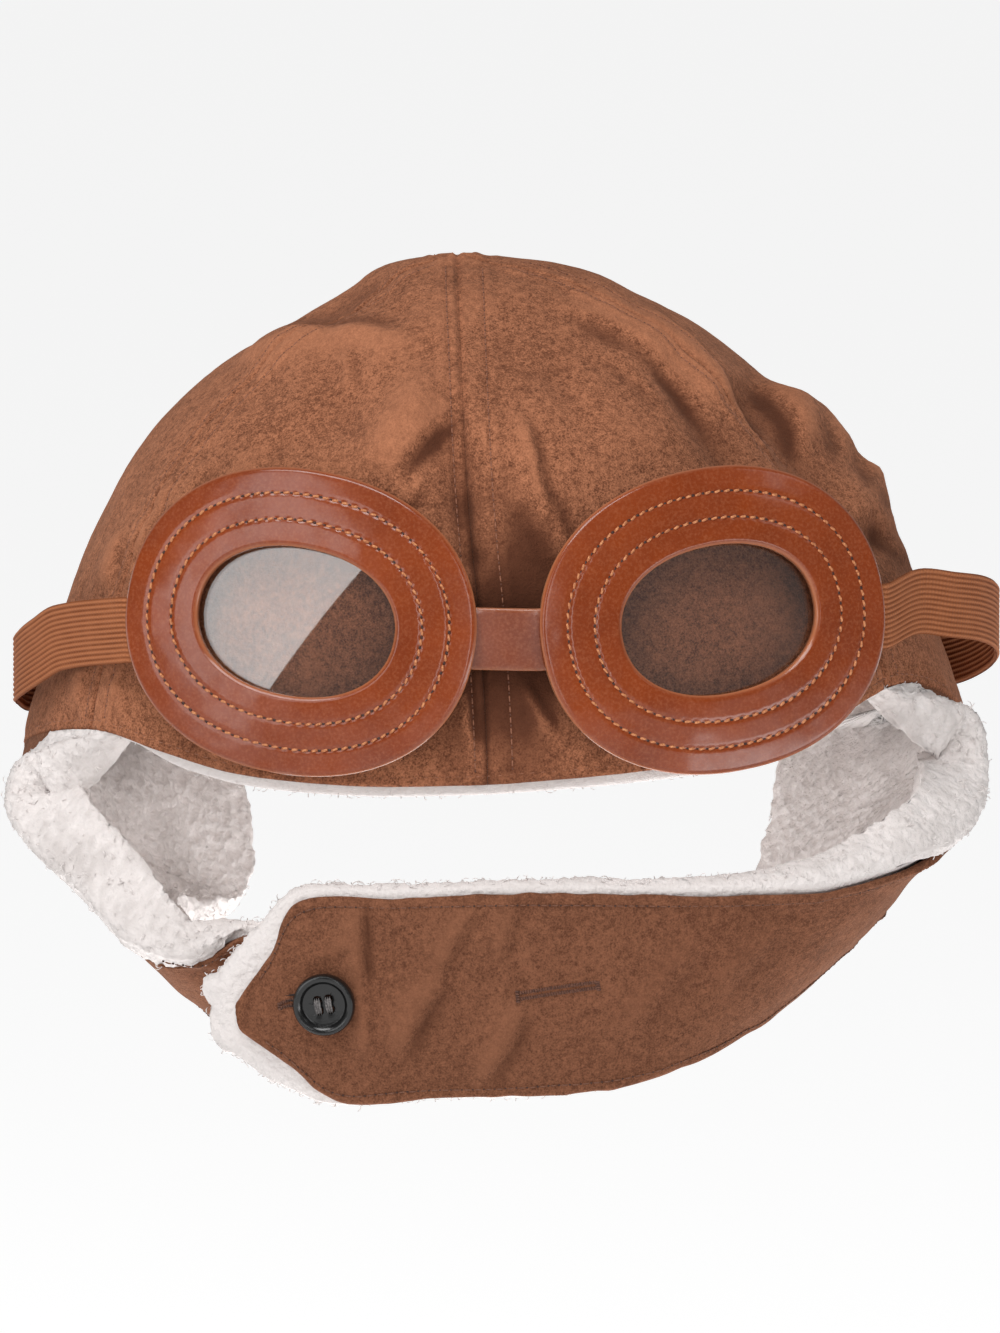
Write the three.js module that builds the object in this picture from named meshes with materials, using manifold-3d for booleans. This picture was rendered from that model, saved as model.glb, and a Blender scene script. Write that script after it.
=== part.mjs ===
// Aviator hat with goggles: a crown of suede-look cloth lined with white fleece, two lined ear
// flaps that run on into a buttoned chin strap, and leather goggles on an elastic band.
// Millimetres, +Z up. The hat faces -Y, and +X is on the right of a front view. The origin is the
// centre of the head opening, level with the front hem.

import * as THREE from 'three';
import Module from 'manifold-3d';

const wasm = await Module();
wasm.setup();

// Driving dimensions
const CLOTH = 1.3;
const FIT_GAP = 0.3;
const FLAP_FIT_GAP = 0.7;
const FLAP_GAP = 1.2;
const SEAM_GAP = 0.3;
const CROWN_TOP = 114.5;
const CROWN_PILE = 6.5;
const LINING_BELOW_HEM = 2;
const SIDE_SEAM_AZIMUTH = 60;
const ELASTIC_WIDTH = 15.8;
const BRIDGE_WIDTH = 15;
const BUTTON_DIAMETER = 15;
const BUTTONHOLE = { length: 19, width: 1.2 };
const BUTTON_STAND = 0.9;

// The outline of the crown. left and right are the distances of the outline from the middle of the
// hat, seam the place of the centre seam, front and back the half-depths, and square the exponent
// of the oval that each level is (2 is an ellipse, more is fuller at its corners).
const crownRows = [
  { height: -20, left: 114.5, right: 116, seam: -1.7, front: 91, back: 89, square: 2.45 },
  { height: 0, left: 112.7, right: 114.5, seam: -1.7, front: 92, back: 94, square: 2.45 },
  { height: 20, left: 106.5, right: 107.8, seam: -2.5, front: 91.5, back: 96.5, square: 2.45 },
  { height: 42, left: 99, right: 98.6, seam: -4, front: 89.5, back: 96, square: 2.4 },
  { height: 57, left: 92, right: 92.4, seam: -5.5, front: 86.5, back: 93, square: 2.3 },
  { height: 67, left: 86, right: 83.5, seam: -6.3, front: 83, back: 89, square: 2.25 },
  { height: 77, left: 78, right: 74.7, seam: -7, front: 77, back: 83, square: 2.2 },
  { height: 86, left: 67.8, right: 63.8, seam: -7.5, front: 69, back: 75, square: 2.15 },
  { height: 96, left: 50.8, right: 51, seam: -8, front: 54.5, back: 60.5, square: 2.1 },
  { height: 105, left: 38, right: 34.8, seam: -8.5, front: 38.5, back: 43.5, square: 2 },
  { height: 110.5, left: 31, right: 24.5, seam: -8.8, front: 26.5, back: 30, square: 2 },
  { height: CROWN_TOP, left: 9, right: -9, seam: -9, front: 0, back: 0, square: 2 },
];

// The height of the hem on each side, by the angle round the head from the front.
const hemRows = [
  { azimuth: 0, left: 0, right: 0 },
  { azimuth: 20, left: -0.5, right: 2.6 },
  { azimuth: 36, left: 1.4, right: 5.8 },
  { azimuth: 46, left: 5, right: 10 },
  { azimuth: 56, left: 8.3, right: 16.6 },
  { azimuth: 63, left: 7.6, right: 18.6 },
  { azimuth: 71, left: 5, right: 15.8 },
  { azimuth: 83, left: 0, right: 8 },
  { azimuth: 100, left: -7, right: -1 },
  { azimuth: 125, left: -14, right: -11 },
  { azimuth: 145, left: -18, right: -17 },
  { azimuth: 180, left: -19, right: -19 },
];

// The crown's dents and ridges, each a line on the hat as it is seen from 8 degrees above the
// front: [across, up] at both ends, the half-width of the fold, and its depth (below 0 a dent).
const VIEW_TILT = THREE.MathUtils.degToRad(8);
const folds = [
  { name: 'left shoulder dent', from: [-40, 103], to: [-30, 108], width: 6, depth: -3.5 },
  { name: 'left shoulder ridge', from: [-55, 93], to: [-12, 96], width: 6, depth: 2 },
  { name: 'left dimple', from: [-39, 90], to: [-37, 79], width: 6, depth: -2.5 },
  { name: 'pinched ridge by the seam', from: [-16, 82], to: [-29, 64], width: 5, depth: 2 },
  { name: 'hollow beside the seam', from: [-12, 76], to: [-7, 55], width: 5, depth: -2.5 },
  { name: 'right valley', from: [42, 85], to: [56, 65], width: 5, depth: -3 },
  { name: 'right gather', from: [61, 80], to: [79, 58], width: 5, depth: -4.5 },
  { name: 'pouch beyond the gather', from: [72, 76], to: [88, 54], width: 6, depth: 3 },
  { name: 'right temple crease', from: [82, 55], to: [92, 46], width: 4, depth: -3 },
];

// The ear flaps and the two halves of the chin strap, as sections from the hem of the crown down
// and round to the front. edge is the side that frames the face, middle is half way across, under
// is the side at the nape and under the chin. pile is the thickness of the fleece. past is how far
// it stands out past the cloth, and hang how far at the under side, where that differs. Before
// these sections comes the crown's own hem, from hemFrom to hemTo degrees round from the front.
const rightFlap = {
  side: 1,
  hemFrom: 60,
  hemTo: 136,
  sections: [
    { edge: [109, -44, 13.5], middle: [112, 12, -9.7], under: [75.5, 73, -31], pile: 8, past: 0.5 },
    { edge: [116, -42, 8.5], middle: [110, 14, -17], under: [73.5, 67.5, -46], pile: 9.5, past: 2 },
    { edge: [118, -44, -2], middle: [107, 8, -24], under: [79, 55, -53.5], pile: 10, past: 2 },
    { edge: [116, -54, -11], middle: [101.5, -8, -30], under: [87, 31, -52], pile: 10, past: 2 },
    { edge: [109, -68, -18.5], middle: [100, -30, -31], under: [93, 2, -44], pile: 9, past: 2 },
    { edge: [96, -82, -23.5], middle: [95, -57, -34], under: [91, -28, -42.5], pile: 8, past: 1.7 },
    { edge: [78, -94, -26], middle: [82, -77, -40], under: [79, -57, -50], pile: 7, past: 1.5 },
    { edge: [52, -102.5, -25], middle: [59, -94.5, -46], under: [59, -82, -62.5], pile: 6, past: 1.5 },
    { edge: [26, -107, -24.3], middle: [31, -104, -48.5], under: [33, -97.5, -71.3], pile: 6, past: 1.5 },
    { edge: [1, -108, -24], middle: [3, -107.5, -49.5], under: [6, -104, -73.3], pile: 6, past: 1.5 },
    { edge: [-23, -107, -24.8], middle: [-20, -107.5, -50], under: [-18, -104, -74], pile: 5, past: 1.5 },
    {
      edge: [-46, -103, -26.5],
      middle: [-43, -105, -51],
      under: [-37, -101, -75],
      pile: 5,
      past: 2.5,
      hang: 2,
    },
    {
      edge: [-54, -100.5, -40],
      middle: [-53, -101.5, -53],
      under: [-50, -99, -65.5],
      pile: 5,
      past: 6.5,
      hang: 7.5,
    },
    {
      edge: [-61, -97.5, -51],
      middle: [-61.5, -97.5, -54],
      under: [-60, -97.4, -58.5],
      pile: 5,
      past: 7.5,
      hang: 7.5,
    },
  ],
};
const leftFlap = {
  side: -1,
  hemFrom: 56,
  hemTo: 140.5,
  sections: [
    { edge: [-104, -50, 4], middle: [-111.5, 10, -14], under: [-67.5, 77, -31], pile: 8, past: 0.5 },
    { edge: [-113.5, -46, 1], middle: [-110, 12, -22], under: [-68.5, 70.5, -46.5], pile: 9.5, past: 2 },
    { edge: [-117.5, -48, -10], middle: [-107, 6, -32], under: [-74, 57, -55], pile: 10, past: 2 },
    { edge: [-111.5, -56, -19.5], middle: [-98.5, -6, -37], under: [-79.5, 32, -55], pile: 10, past: 1.5 },
    { edge: [-100.2, -68, -28], middle: [-92.5, -30, -41.5], under: [-82, 2, -51], pile: 9, past: 1 },
    { edge: [-87, -80, -40], middle: [-83, -52, -48], under: [-78.5, -27, -51.5], pile: 8, past: 1.3 },
    { edge: [-74, -86, -42.5], middle: [-73.5, -66, -54], under: [-71, -48, -58.5], pile: 6.5, past: 1.5 },
    { edge: [-60, -87.5, -37], middle: [-60, -82, -54], under: [-58, -71, -67], pile: 5, past: 1.5 },
    { edge: [-45, -93.5, -34], middle: [-45, -94, -54], under: [-44, -89.5, -72], pile: 5, past: 1 },
    { edge: [-31, -96, -33], middle: [-31, -97, -54], under: [-31, -93, -72.5], pile: 5, past: 1 },
    { edge: [-20, -97, -37], middle: [-18, -98, -54], under: [-20, -94.5, -70], pile: 5, past: 1 },
  ],
};

// Where the button and the empty buttonhole are on the right flap's strap: how many sections along,
// and how far across from its top edge. The left strap is sewn to the button at its own place.
const buttonSpot = { place: 11.85, across: 0.49 };
const spareHoleSpot = { place: 9.56, across: 0.46 };
const shankSpot = { place: 9.4, across: 0.52 };

// The goggles. Each has a bent sheet of its own, a stack of leather ring, lens and backing ring.
const goggle = {
  outer: { across: 43.2, up: 35.7 },
  opening: { across: 24.3, up: 17.3 },
  backingOpening: { across: 26, up: 19 },
  lens: { across: 28.5, up: 21.5 },
  tilt: 9,
  pitch: 10,
  bendAcross: 150,
  bendUp: 190,
  backing: 1.4,
  slot: 1.6,
  leather: 2.2,
  sheet: 1,
  roundness: 2.15,
};
const goggles = [
  { name: 'left', side: -1, place: [-46.8, -86.2, 38.5], yaw: -17, elasticUp: -3.5, bridgeUp: -2 },
  { name: 'right', side: 1, place: [52.6, -84.2, 38.7], yaw: 20, elasticUp: -1, bridgeUp: -2.4 },
];
// The elastic band behind the goggles, by the angle round the head: the height of its middle and
// how far it stands off the crown.
const elasticRows = [
  { azimuth: 66, left: 29, leftOff: 8, right: 38, rightOff: 9.5 },
  { azimuth: 80, left: 18.8, leftOff: 8.5, right: 32.5, rightOff: 16 },
  { azimuth: 93, left: 13.2, leftOff: 5.5, right: 24.5, rightOff: 14.5 },
  { azimuth: 107, left: 8, leftOff: 3.4, right: 15, rightOff: 6.5 },
  { azimuth: 128, left: 4, leftOff: 2.2, right: 6.5, rightOff: 2.4 },
  { azimuth: 155, left: 1, leftOff: 2.2, right: 1.5, rightOff: 2.2 },
  { azimuth: 180, left: 0, leftOff: 2.2, right: 0, rightOff: 2.2 },
];

// Materials
function finish(color, roughness) {
  return new THREE.MeshStandardMaterial({ color, roughness, metalness: 0 });
}
const suede = () => finish('#87543d', 0.95);
const strapSuede = () => finish('#895740', 0.95);
const fleece = () => finish('#e4dad7', 1);
const leather = () => finish('#91411b', 0.4);
const backingLeather = () => finish('#b27a55', 0.7);
const bridgeLeather = () => finish('#9f6d5c', 0.4);
const webbing = () => finish('#96603f', 0.85);
const clearPlastic = () => finish('#d8d4d2', 0.1);
const horn = () => finish('#33302f', 0.25);
const cotton = () => finish('#2a2422', 0.9);

const degrees = THREE.MathUtils.degToRad;
const vector = (x, y, z) => new THREE.Vector3(x, y, z);

// A smooth curve through one column of a table: a cubic between rows, with each row's slope taken
// from the rows on both sides of it. Beyond the ends it goes straight on.
function smooth(rows, position, value, at) {
  const last = rows.length - 1;
  const slope = (i) => {
    const low = rows[Math.max(i - 1, 0)];
    const high = rows[Math.min(i + 1, last)];
    return (value(high) - value(low)) / (position(high) - position(low));
  };
  if (at <= position(rows[0])) return value(rows[0]) + slope(0) * (at - position(rows[0]));
  if (at >= position(rows[last])) return value(rows[last]) + slope(last) * (at - position(rows[last]));
  const next = rows.findIndex((row) => position(row) > at);
  const start = rows[next - 1];
  const end = rows[next];
  const step = position(end) - position(start);
  const t = (at - position(start)) / step;
  const rise = value(end) - value(start);
  const bow = (1 - t) * (slope(next - 1) * step - rise) - t * (slope(next) * step - rise);
  return value(start) + rise * t + t * (1 - t) * bow;
}

const clamp01 = (x) => Math.min(Math.max(x, 0), 1);
const smoothStep = (x) => clamp01(x) ** 2 * (3 - 2 * clamp01(x));

// A closed solid from an outer and an inner grid of points with the same rows and columns. The
// rims are walled, except where the columns run all the way round. Points that fall together,
// as at the top of a dome, become one.
function shell(outer, inner, ring = false) {
  const points = [];
  const known = new Map();
  const id = (p) => {
    const key = [p.x, p.y, p.z].map((c) => Math.round(c * 2000)).join();
    if (!known.has(key)) {
      known.set(key, points.length);
      points.push(p);
    }
    return known.get(key);
  };
  const a = outer.map((row) => row.map(id));
  const b = inner.map((row) => row.map(id));
  const faces = [];
  const quad = (p, q, r, s) => faces.push([p, q, r], [p, r, s]);
  const rows = a.length - 1;
  const columns = a[0].length;
  const steps = ring ? columns : columns - 1;
  for (let i = 0; i < rows; i++) {
    for (let j = 0; j < steps; j++) {
      const k = (j + 1) % columns;
      quad(a[i][j], a[i][k], a[i + 1][k], a[i + 1][j]);
      quad(b[i][j], b[i + 1][j], b[i + 1][k], b[i][k]);
    }
    if (ring) continue;
    quad(a[i][0], a[i + 1][0], b[i + 1][0], b[i][0]);
    quad(a[i][steps], b[i][steps], b[i + 1][steps], a[i + 1][steps]);
  }
  for (let j = 0; j < steps; j++) {
    const k = (j + 1) % columns;
    quad(a[0][k], a[0][j], b[0][j], b[0][k]);
    quad(a[rows][j], a[rows][k], b[rows][k], b[rows][j]);
  }
  return closedGeometry(points, faces.filter(([p, q, r]) => p !== q && q !== r && p !== r));
}

// An indexed geometry with its faces pointing out.
function closedGeometry(points, faces) {
  const volume = faces.reduce((sum, [p, q, r]) => {
    return sum + points[p].dot(vector(0, 0, 0).crossVectors(points[q], points[r]));
  }, 0);
  const index = faces.flatMap(([p, q, r]) => (volume > 0 ? [p, q, r] : [p, r, q]));
  const geometry = new THREE.BufferGeometry();
  const coordinates = points.flatMap((p) => p.toArray());
  geometry.setAttribute('position', new THREE.Float32BufferAttribute(coordinates, 3));
  geometry.setIndex(index);
  return geometry;
}

// A three.js shape with its doubled points merged, ready to be cut or joined.
function merged(geometry) {
  const position = geometry.getAttribute('position');
  const index = geometry.index ? [...geometry.index.array] : [...Array(position.count).keys()];
  const points = [];
  const known = new Map();
  const renumbered = index.map((i) => {
    const p = vector(0, 0, 0).fromBufferAttribute(position, i);
    const key = p.toArray().map((c) => Math.round(c * 2000)).join();
    if (!known.has(key)) {
      known.set(key, points.length);
      points.push(p);
    }
    return known.get(key);
  });
  const faces = [];
  for (let i = 0; i < renumbered.length; i += 3) faces.push(renumbered.slice(i, i + 3));
  return closedGeometry(points, faces.filter(([p, q, r]) => p !== q && q !== r && p !== r));
}

function toSolid(geometry) {
  return new wasm.Manifold(new wasm.Mesh({
    numProp: 3,
    vertProperties: new Float32Array(geometry.getAttribute('position').array),
    triVerts: new Uint32Array(geometry.index.array),
  }));
}

function fromSolid(solid) {
  const mesh = solid.getMesh();
  const geometry = new THREE.BufferGeometry();
  geometry.setAttribute('position', new THREE.BufferAttribute(new Float32Array(mesh.vertProperties), 3));
  geometry.setIndex([...mesh.triVerts]);
  return merged(geometry);
}

function piece(name, geometry, material) {
  geometry.computeVertexNormals();
  const mesh = new THREE.Mesh(geometry, material);
  mesh.name = name;
  return mesh;
}

// Crown
// The squares of the half-widths are what is interpolated, so that the top closes as a round dome.
const crownSquares = crownRows.map((row) => ({
  ...row,
  left: (row.left + row.seam) ** 2,
  right: (row.right - row.seam) ** 2,
  front: row.front ** 2,
  back: row.back ** 2,
}));
const atHeight = (row) => row.height;

function crownSurface(azimuth, height) {
  const level = Math.min(height, CROWN_TOP);
  const read = (column) => smooth(crownSquares, atHeight, (row) => row[column], level);
  const aside = Math.sin(azimuth);
  const ahead = Math.cos(azimuth);
  const width = Math.sqrt(Math.max(read(aside < 0 ? 'left' : 'right'), 0));
  const depth = Math.sqrt(Math.max(read(ahead < 0 ? 'back' : 'front'), 0));
  if (width === 0 || depth === 0) return vector(read('seam'), 0, level);
  const square = read('square');
  const spread = (Math.abs(aside) / width) ** square + (Math.abs(ahead) / depth) ** square;
  const radius = spread ** (-1 / square);
  return vector(read('seam') + radius * aside, -radius * ahead, level);
}

// How far the folds push the crown out, where a point of it is seen from the front.
function foldDepth(p) {
  const up = p.z * Math.cos(VIEW_TILT) + p.y * Math.sin(VIEW_TILT);
  const facing = smoothStep((20 - p.y) / 25);
  const spot = new THREE.Vector2(p.x, up);
  return facing * folds.reduce((sum, fold) => {
    const from = new THREE.Vector2(...fold.from);
    const line = new THREE.Vector2(...fold.to).sub(from);
    const t = clamp01(spot.clone().sub(from).dot(line) / line.lengthSq());
    const distance = spot.distanceTo(from.addScaledVector(line, t));
    return sum + fold.depth * Math.exp(-((distance / fold.width) ** 2));
  }, 0);
}

function hemHeight(azimuth) {
  const turn = Math.abs(THREE.MathUtils.radToDeg(azimuth));
  return smooth(hemRows, (row) => row.azimuth, (row) => (azimuth < 0 ? row.left : row.right), turn);
}

// A point of the crown's wall: rise goes from 0 at the hem to 1 at the top, inset is the depth
// under the outside of the cloth, and below lets the lining out under the hem.
function crownWall(azimuth, rise, inset, below = 0) {
  const at = (turn, up) => {
    const hem = hemHeight(turn) - below;
    return crownSurface(turn, hem + (CROWN_TOP - hem) * Math.sin((up * Math.PI) / 2));
  };
  const p = at(azimuth, rise);
  const normal = vector(0, 0, 1);
  if (rise < 0.999) {
    const round = at(azimuth + 0.01, rise).sub(at(azimuth - 0.01, rise));
    const upward = at(azimuth, rise + 0.001).sub(at(azimuth, rise - 0.001));
    normal.crossVectors(round, upward).normalize();
  }
  return p.addScaledVector(normal, foldDepth(p) - inset);
}

function spread(count, from = 0, to = 1) {
  return Array.from({ length: count + 1 }, (_, i) => from + ((to - from) * i) / count);
}

const CROWN_ROWS = 14;
const PANEL_COLUMNS = 12;
const seams = [-180, -SIDE_SEAM_AZIMUTH, 0, SIDE_SEAM_AZIMUTH, 180];

function crownPanel(name, from, to) {
  const middle = degrees((from + to) / 2);
  const out = vector(Math.sin(middle), -Math.cos(middle), 0).multiplyScalar(SEAM_GAP);
  const wall = (inset) => spread(CROWN_ROWS).map((rise) => {
    return spread(PANEL_COLUMNS, from, to).map((turn) => crownWall(degrees(turn), rise, inset).add(out));
  });
  return piece(name, shell(wall(0), wall(CLOTH)), suede());
}

// The lining is one shell, on the same rows and columns as the panels.
function crownLining() {
  const turns = seams.slice(0, -1).flatMap((from, i) => {
    return spread(PANEL_COLUMNS, from, seams[i + 1]).slice(0, -1);
  });
  const outside = CLOTH + FIT_GAP;
  const below = (turn) => {
    const flap = turn < 0 ? leftFlap : rightFlap;
    const clearOfFlap = Math.max(flap.hemFrom - Math.abs(turn), Math.abs(turn) - flap.hemTo);
    return LINING_BELOW_HEM * smoothStep(clearOfFlap / 10 - 0.2);
  };
  const wall = (inset) => spread(CROWN_ROWS).map((rise) => {
    return turns.map((turn) => crownWall(degrees(turn), rise, inset, below(turn)));
  });
  return piece('crown_lining', shell(wall(outside), wall(outside + CROWN_PILE), true), fleece());
}

// Ear flaps and chin strap
// The sections with the hem's own points put first.
function withHem(flap) {
  const turn = (across) => flap.side * degrees(flap.hemFrom + (flap.hemTo - flap.hemFrom) * across);
  const onHem = (across) => crownWall(turn(across), 0, 0).toArray();
  const first = { edge: onHem(0), middle: onHem(0.5), under: onHem(1), pile: CROWN_PILE, past: 0 };
  const sections = [first, ...flap.sections].map((row, place) => ({ hang: row.past, ...row, place }));
  return { ...flap, turn, sections };
}

function flapValue(flap, read, place) {
  return smooth(flap.sections, (row) => row.place, read, place);
}

// A point of the flap's outside: a parabola through the section's three points, bent to the hem
// of the crown at the top.
function flapSurface(flap, place, across) {
  const column = (name) => {
    return vector(...[0, 1, 2].map((axis) => flapValue(flap, (row) => row[name][axis], place)));
  };
  const parabola = (edge, middle, under) => vector(0, 0, 0)
    .addScaledVector(edge, (1 - across) * (1 - 2 * across))
    .addScaledVector(middle, 4 * across * (1 - across))
    .addScaledVector(under, across * (2 * across - 1));
  const p = parabola(column('edge'), column('middle'), column('under'));
  const fade = clamp01(1 - place) ** 2;
  if (fade === 0) return p;
  const top = flap.sections[0];
  const chord = parabola(vector(...top.edge), vector(...top.middle), vector(...top.under));
  return p.addScaledVector(crownWall(flap.turn(across), 0, 0).sub(chord), fade);
}

function flapNormal(flap, place, across) {
  const down = flapSurface(flap, place + 0.02, across).sub(flapSurface(flap, place - 0.02, across));
  const back = flapSurface(flap, place, across + 0.01).sub(flapSurface(flap, place, across - 0.01));
  return down.cross(back).multiplyScalar(flap.side).normalize();
}

function flapWall(flap, place, across, inset) {
  if (place === 0) {
    return crownWall(flap.turn(clamp01(across)), 0, inset).add(vector(0, 0, -FLAP_GAP));
  }
  return flapSurface(flap, place, across).addScaledVector(flapNormal(flap, place, across), -inset);
}

// How the columns of a flap are spaced, and what share of its thickness the fleece has there and
// at the strap's end.
const END_SHARE = 0.6;
const flapColumns = [
  { across: 0, share: 0.45 },
  { across: 0.07, share: 1 },
  { across: 0.36, share: 1 },
  { across: 0.66, share: 1 },
  { across: 0.93, share: 1 },
  { across: 1, share: 0.45 },
];

function flapPlaces(flap) {
  const last = flap.sections.length - 1;
  return spread(last * 2, 0, last);
}

function flapCloth(flap) {
  const wall = (inset) => flapPlaces(flap).map((place) => {
    return flapColumns.map(({ across }) => flapWall(flap, place, across, inset));
  });
  return shell(wall(0), wall(CLOTH));
}

// The fleece has rounded rims. It stands out past the cloth beyond the end and at both sides, where
// it goes square to the side's own course.
function flapLining(flap) {
  const direction = (to, from) => to.sub(from).normalize();
  const sideways = (place, across) => {
    const course = flapSurface(flap, place + 0.02, across).sub(flapSurface(flap, place - 0.02, across));
    const out = course.cross(flapNormal(flap, place, across)).normalize();
    return out.multiplyScalar(flap.side * Math.sign(0.5 - across));
  };
  const onwards = (place, across) => {
    return direction(flapSurface(flap, place, across), flapSurface(flap, place - 0.3, across));
  };
  const places = flapPlaces(flap);
  const last = places[places.length - 1];
  const row = (place, depth, atEnd) => flapColumns.map(({ across, share }) => {
    const past = flapValue(flap, (section) => (across === 1 ? section.hang : section.past), place);
    const pile = flapValue(flap, (section) => section.pile, place);
    const rounded = (place === 0 ? 1 : share) * (atEnd ? END_SHARE : 1);
    const p = flapWall(flap, place, across, CLOTH + FLAP_FIT_GAP + depth * pile * rounded);
    if (across === 0 || across === 1) p.addScaledVector(sideways(place, across), Math.max(past, 0));
    if (atEnd) p.addScaledVector(onwards(place, across), past);
    return p;
  });
  const wall = (depth) => [...places.map((place) => row(place, depth, false)), row(last, depth, true)];
  return shell(wall(0), wall(1));
}

// The place, and the directions along, across and out of the strap, as a matrix whose X runs along
// the strap, Y out of it and Z up it.
function strapFrame(flap, spot) {
  const out = flapNormal(flap, spot.place, spot.across);
  const up = flapSurface(flap, spot.place, spot.across - 0.05);
  up.sub(flapSurface(flap, spot.place, spot.across + 0.05));
  const along = vector(0, 0, 0).crossVectors(out, up).normalize();
  up.crossVectors(along, out).normalize();
  const matrix = new THREE.Matrix4().makeBasis(along, out, up);
  return matrix.setPosition(flapSurface(flap, spot.place, spot.across));
}

function buttonholes(flap) {
  const depth = 30;
  const slot = (spot) => {
    const cutter = new THREE.BoxGeometry(BUTTONHOLE.length, depth, BUTTONHOLE.width);
    return toSolid(merged(cutter.applyMatrix4(strapFrame(flap, spot))));
  };
  return slot(buttonSpot).add(slot(spareHoleSpot));
}

// Button, with a raised rim and four holes, and the thread that goes through them and through the
// buttonhole to the strap behind
const button = { rim: BUTTON_DIAMETER / 2, thick: 3.4, dish: 2, hole: 1.05, holeOff: 1.33, thread: 0.6 };

function buttonSolid() {
  const profile = [
    [0, 0],
    [0.8, 0],
    [0.97, 0.16],
    [1, 0.5],
    [0.96, 0.85],
    [0.88, 1],
    [0.76, 0.94],
    [0.66, button.dish / button.thick],
    [0, button.dish / button.thick],
  ].map(([r, h]) => new THREE.Vector2(r * button.rim, h * button.thick));
  let solid = toSolid(merged(new THREE.LatheGeometry(profile, 20)));
  for (const [x, z] of [[-1, -1], [-1, 1], [1, -1], [1, 1]]) {
    const hole = new THREE.CylinderGeometry(button.hole, button.hole, 12, 8);
    hole.translate(x * button.holeOff, 0, z * button.holeOff);
    solid = solid.subtract(toSolid(merged(hole)));
  }
  return fromSolid(solid);
}

// Four legs and two bars above the button, a foot under it, and a shank of the given reach.
function threadSolid(reach) {
  const off = button.holeOff;
  const above = button.dish + 0.7;
  const footMiddle = -0.55;
  const parts = [];
  for (const x of [-off, off]) {
    for (const z of [-off, off]) {
      const leg = new THREE.CylinderGeometry(button.thread, button.thread, above - footMiddle, 6);
      parts.push(leg.translate(x, (above + footMiddle) / 2, z));
    }
    const bar = new THREE.BoxGeometry(button.thread * 2, 0.9, 2 * (off + button.thread));
    parts.push(bar.translate(x, above, 0));
  }
  const foot = new THREE.BoxGeometry(2 * (off + button.thread), 0.5, 2 * (off + button.thread));
  parts.push(foot.translate(0, footMiddle, 0));
  const shank = new THREE.BoxGeometry(3, reach, BUTTONHOLE.width - 2 * FIT_GAP);
  parts.push(shank.translate(0, footMiddle - reach / 2, 0));
  return fromSolid(parts.map((part) => toSolid(merged(part))).reduce((sum, part) => sum.add(part)));
}

// Goggles
// A goggle's own frame has X across, -Y out towards the front and Z up, and its leather is a sheet
// bent round the face both ways. depth is measured outwards from the back of the stack.
function gogglePoint(across, up, depth) {
  const turn = across / goggle.bendAcross;
  const nod = up / goggle.bendUp;
  const fallBack = goggle.bendAcross * (1 - Math.cos(turn)) + goggle.bendUp * (1 - Math.cos(nod));
  return vector(
    goggle.bendAcross * Math.sin(turn) + depth * Math.sin(turn),
    fallBack - depth * Math.cos(turn) * Math.cos(nod),
    goggle.bendUp * Math.sin(nod) + depth * Math.sin(nod),
  );
}

// A point of an oval in the sheet, tilted so that its inner end is the lower one.
function ovalPoint(side, oval, turn, depth) {
  const power = 2 / goggle.roundness;
  const wave = (x) => Math.sign(x) * Math.abs(x) ** power;
  const spot = new THREE.Vector2(oval.across * wave(Math.cos(turn)), oval.up * wave(Math.sin(turn)));
  spot.rotateAround(new THREE.Vector2(), side * degrees(goggle.tilt));
  return gogglePoint(spot.x, spot.y, depth);
}

const rimSteps = 28;
const between = (a, b, t) => ({ across: a.across + (b.across - a.across) * t, up: a.up + (b.up - a.up) * t });

function goggleRing(side, opening, low, high, columns) {
  const turns = spread(rimSteps, 0, 2 * Math.PI).slice(0, rimSteps);
  const face = (depth) => columns.map((column) => turns.map((turn) => {
    return ovalPoint(side, between(goggle.outer, opening, column.inwards), turn, depth(column));
  }));
  return shell(face((column) => high - column.lower), face(() => low), true);
}

const rimColumns = [
  { inwards: 0, lower: 1 },
  { inwards: 0.09, lower: 0.1 },
  { inwards: 0.5, lower: 0 },
  { inwards: 0.92, lower: 0.1 },
  { inwards: 1, lower: 1 },
];
const flatColumns = [{ inwards: 0, lower: 0 }, { inwards: 1, lower: 0 }];

function goggleLens(side) {
  const turns = spread(rimSteps, 0, 2 * Math.PI).slice(0, rimSteps);
  const low = goggle.backing + FIT_GAP;
  const face = (depth) => [0, 0.55, 1].map((size) => turns.map((turn) => {
    return ovalPoint(side, between({ across: 0, up: 0 }, goggle.lens, size), turn, depth);
  }));
  return shell(face(low + goggle.sheet), face(low), true);
}

function goggleGroup({ name, side, place, yaw }) {
  const group = new THREE.Group();
  group.position.set(...place);
  group.rotation.set(-degrees(goggle.pitch), 0, degrees(yaw), 'ZXY');
  const front = goggle.backing + goggle.slot;
  const rim = goggleRing(side, goggle.opening, front, front + goggle.leather, rimColumns);
  const backing = goggleRing(side, goggle.backingOpening, 0, goggle.backing, flatColumns);
  group.add(piece(`goggle_rim_${name}`, rim, leather()));
  group.add(piece(`goggle_backing_${name}`, backing, backingLeather()));
  group.add(piece(`goggle_lens_${name}`, goggleLens(side), clearPlastic()));
  group.updateMatrixWorld(true);
  return group;
}

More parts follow.
